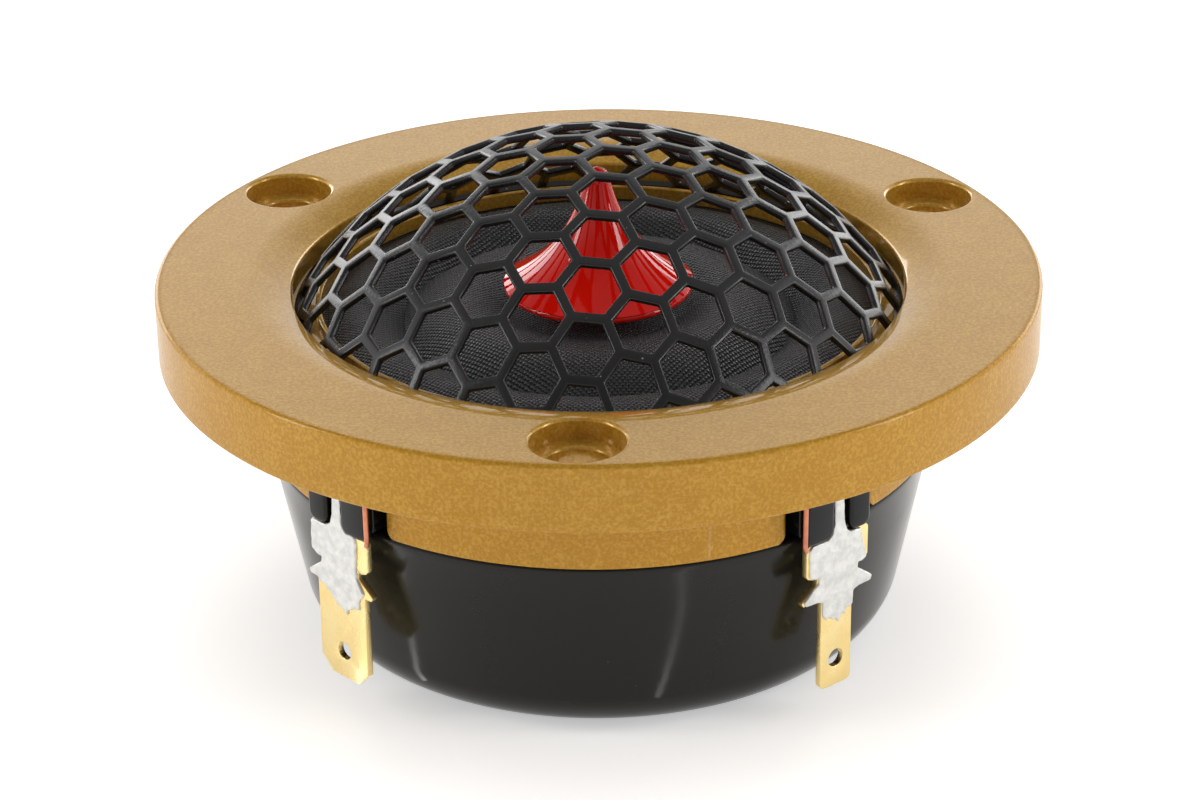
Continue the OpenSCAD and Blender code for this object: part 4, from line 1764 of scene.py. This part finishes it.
def felt_disc(name: str, radius: float, low: float, high: float) -> bpy.types.Mesh:
    """A felt pad: a disc with soft edges and an uneven, fibrous surface.

    Args:
        name: the mesh's name.
        radius: its radius.
        low: its lowest height.
        high: its highest height.

    Returns:
        The pad.
    """
    soft = min(0.6, (high - low) / 3)
    rings = [radius - soft - (radius - soft) * i / 24 for i in range(25)]
    top = [*arc((radius - soft, high - soft), soft, 0, 90, 5), *[(r, high) for r in rings[1:]]]
    bottom = [*[(r, low) for r in reversed(rings)], *arc((radius - soft, low + soft), soft, -90, 0, 5)]
    mesh = lathe(name, [*bottom, *top], 160, 80.0)
    for vert in mesh.vertices:
        fuzz = noise.noise(vert.co * 1.1) * 0.5 + noise.noise(vert.co * 3.7) * 0.3
        depth = FELT_NAP * (0.5 + fuzz)
        vert.co.z -= math.copysign(max(0.0, depth), vert.co.z - (low + high) / 2)
    return mesh


@dataclass
class Motor:
    """The parts inside: kept CAD nodes in their own metals and plastics, and the pole's felt."""

    felt_r: float = 5.9
    felt_low: float = -12.4
    felt_high: float = -5.7

    def build(self, finishes: Finishes) -> None:
        """Dresses the CAD nodes and builds the felt.

        Args:
            finishes: the object's materials.
        """
        looks = {
            "plug_stud": finishes.brass, "diaphragm_frame": finishes.frame, "inner_clamp": finishes.frame,
            "coil_former": finishes.film, "top_plate": finishes.zinc, "magnet_slugs": finishes.nickel,
            "magnet_locator": finishes.nylon, "yoke": finishes.zinc, "copper_ring": finishes.copper,
        }
        for name, look in looks.items():
            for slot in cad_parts[name].material_slots:
                slot.material = look
            LOG.info("%s: %s", name, look.name)
        pad = felt_disc("plug", self.felt_r, self.felt_low, self.felt_high)
        piece = make_piece("pole_pad", pad, finishes.felt, ["pole_damping"])


@dataclass
class Studio:
    """A pale floor, soft lights and the camera."""

    floor_z: float = -0.0208
    floor_half: float = 6.0
    floor_glow: float = 0.42
    camera_at: tuple[float, float, float] = (0.01198, -0.2235, 0.1025)
    looks_along: tuple[float, float, float] = (-0.04822, 0.8992, -0.4349)
    roll: float = math.radians(-0.77)
    lens: float = 104.3
    strip_glow: float = 3.0
    strip_width: float = 0.5
    strip_lift: float = 0.0004
    side_light: tuple[Point, float] = ((0.10, 0.34), 0.6)
    back_light: tuple[Point, float] = ((0.34, 0.24), 0.75)
    bright_below: float = 0.35
    dim_above: float = 0.75
    horizon: float = 1.1
    zenith: float = 0.3
    front: float = 0.42

    def floor(self) -> None:
        """Lays the floor."""
        build = bmesh.new()
        bmesh.ops.create_grid(build, x_segments=8, y_segments=8, size=self.floor_half)
        for vert in build.verts:
            vert.co.z = self.floor_z
        obj = helper(finish_mesh("studio_floor", build, recalculate=False))
        paper = bpy.data.materials.new("studio_paper")
        paper.use_nodes = True
        shader = paper.node_tree.nodes["Principled BSDF"]
        shader.inputs["Base Color"].default_value = (0.93, 0.93, 0.925, 1.0)
        shader.inputs["Roughness"].default_value = 0.9
        shader.inputs["Specular IOR Level"].default_value = 0.1
        shader.inputs["Emission Color"].default_value = (1.0, 1.0, 1.0, 1.0)
        shader.inputs["Emission Strength"].default_value = self.floor_glow
        obj.data.materials.append(paper)

    def light(self, name: str, at: Sequence[float], size: Point, power: float, mirrored: bool = True) -> None:
        """Hangs one soft light that faces the object.

        Args:
            name: the light's name.
            at: its place.
            size: its width and height.
            power: its power in watts.
            mirrored: whether it shows in reflections.
        """
        data = bpy.data.lights.new(name, "AREA")
        data.shape, data.size, data.size_y, data.energy = "RECTANGLE", size[0], size[1], power
        lamp = bpy.data.objects.new(name, data)
        lamp.location, lamp.visible_glossy, lamp.visible_camera = at, mirrored, False
        lamp.rotation_euler = (-Vector(at)).to_track_quat("-Z", "Y").to_euler()
        bpy.context.scene.collection.objects.link(lamp)

    def strip(self, name: str, start: Point, end: Point) -> None:
        """Lays a hair-thin light on the floor that draws one glint up the glossy cup.

        Args:
            name: the light's name.
            start: the (x, y) of its end near the cup, in millimetres.
            end: the (x, y) of its far end.
        """
        length, width = math.dist(start, end) * MM, self.strip_width * MM
        data = bpy.data.lights.new(name, "AREA")
        data.shape, data.size, data.size_y = "RECTANGLE", length, width
        data.energy = math.pi * self.strip_glow * length * width
        lamp = bpy.data.objects.new(name, data)
        middle = [(a + b) / 2 * MM for a, b in zip(start, end)]
        lamp.location, lamp.visible_camera = (*middle, self.floor_z + self.strip_lift), False
        lamp.rotation_euler = (math.pi, 0.0, math.atan2(end[1] - start[1], end[0] - start[0]))
        bpy.context.scene.collection.objects.link(lamp)

    def sky(self) -> None:
        """Surrounds the object with white that dims toward the camera's side."""
        world = bpy.data.worlds.new("studio_sky")
        world.use_nodes = True
        nodes = Nodes(world.node_tree)
        nodes.tree.nodes.clear()
        around = nodes.add("ShaderNodeTexCoord").outputs["Generated"]
        _, y, z = nodes.add("ShaderNodeSeparateXYZ", {"Vector": around}).outputs
        level = nodes.ramp(z, self.bright_below, self.dim_above, self.horizon, self.zenith)
        strength = nodes.math("MULTIPLY", level, nodes.ramp(y, -0.9, 0.1, self.front, 1.0))
        back = nodes.add("ShaderNodeBackground", {"Color": (1.0, 1.0, 1.0, 1.0), "Strength": strength})
        nodes.add("ShaderNodeOutputWorld", {"Surface": back.outputs[0]})
        bpy.context.scene.world = world

    def camera(self) -> None:
        """Sets up the camera at the chosen viewing angle."""
        data = bpy.data.cameras.new("studio_camera")
        data.lens, data.sensor_width, data.clip_start, data.clip_end = self.lens, 36.0, 0.01, 20.0
        obj = bpy.data.objects.new("studio_camera", data)
        ahead = Vector(self.looks_along).normalized()
        right = ahead.cross(Vector((0, 0, 1))).normalized()
        up = right.cross(ahead)
        x = right * math.cos(self.roll) + up * math.sin(self.roll)
        y = up * math.cos(self.roll) - right * math.sin(self.roll)
        turn = Matrix((x, y, -ahead)).transposed().to_4x4()
        obj.matrix_world = Matrix.Translation(self.camera_at) @ turn
        bpy.context.scene.collection.objects.link(obj)
        bpy.context.scene.camera = obj

    def build(self) -> None:
        """Sets the whole scene around the object."""
        self.camera()
        self.floor()
        self.sky()
        self.light("overhead", (0.0, 0.05, 0.55), (0.5, 0.5), 1.2, mirrored=False)
        self.light("left", (-0.42, -0.10, 0.18), *self.side_light)
        self.light("right", (0.42, -0.08, 0.18), *self.side_light)
        self.light("back left", (-0.34, 0.48, 0.13), *self.back_light)
        self.light("back right", (0.34, 0.48, 0.13), *self.back_light)
        self.strip("left glint", (-12.5, -17.5), (-43.5, -26.0))
        self.strip("right glint", (5.5, -22.5), (29.0, -47.5))
        bpy.context.scene.view_settings.view_transform = "Standard"


def main() -> None:
    """Builds every sub-assembly around the frame."""
    logging.basicConfig(level=logging.INFO, format="%(name)s %(message)s")
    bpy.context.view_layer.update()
    Studio().build()
    finishes = Finishes()
    parts: dict[str, Callable[[Finishes], None]] = {
        "faceplate": Faceplate().build,
        "grille": Grille().build,
        "plug": PhasePlug().build,
        "diaphragm": Diaphragm().build,
        "positive terminal": Terminal(Side.POSITIVE, 2.4, 1.05, 12.7).build,
        "negative terminal": Terminal(Side.NEGATIVE, 1.4, 0.45, 13.3).build,
        "rear cup": RearCup().build,
        "motor": Motor().build,
    }
    for name, build in parts.items():
        build(finishes)
        LOG.info("built the %s", name)


if __name__ == "__main__":
    main()
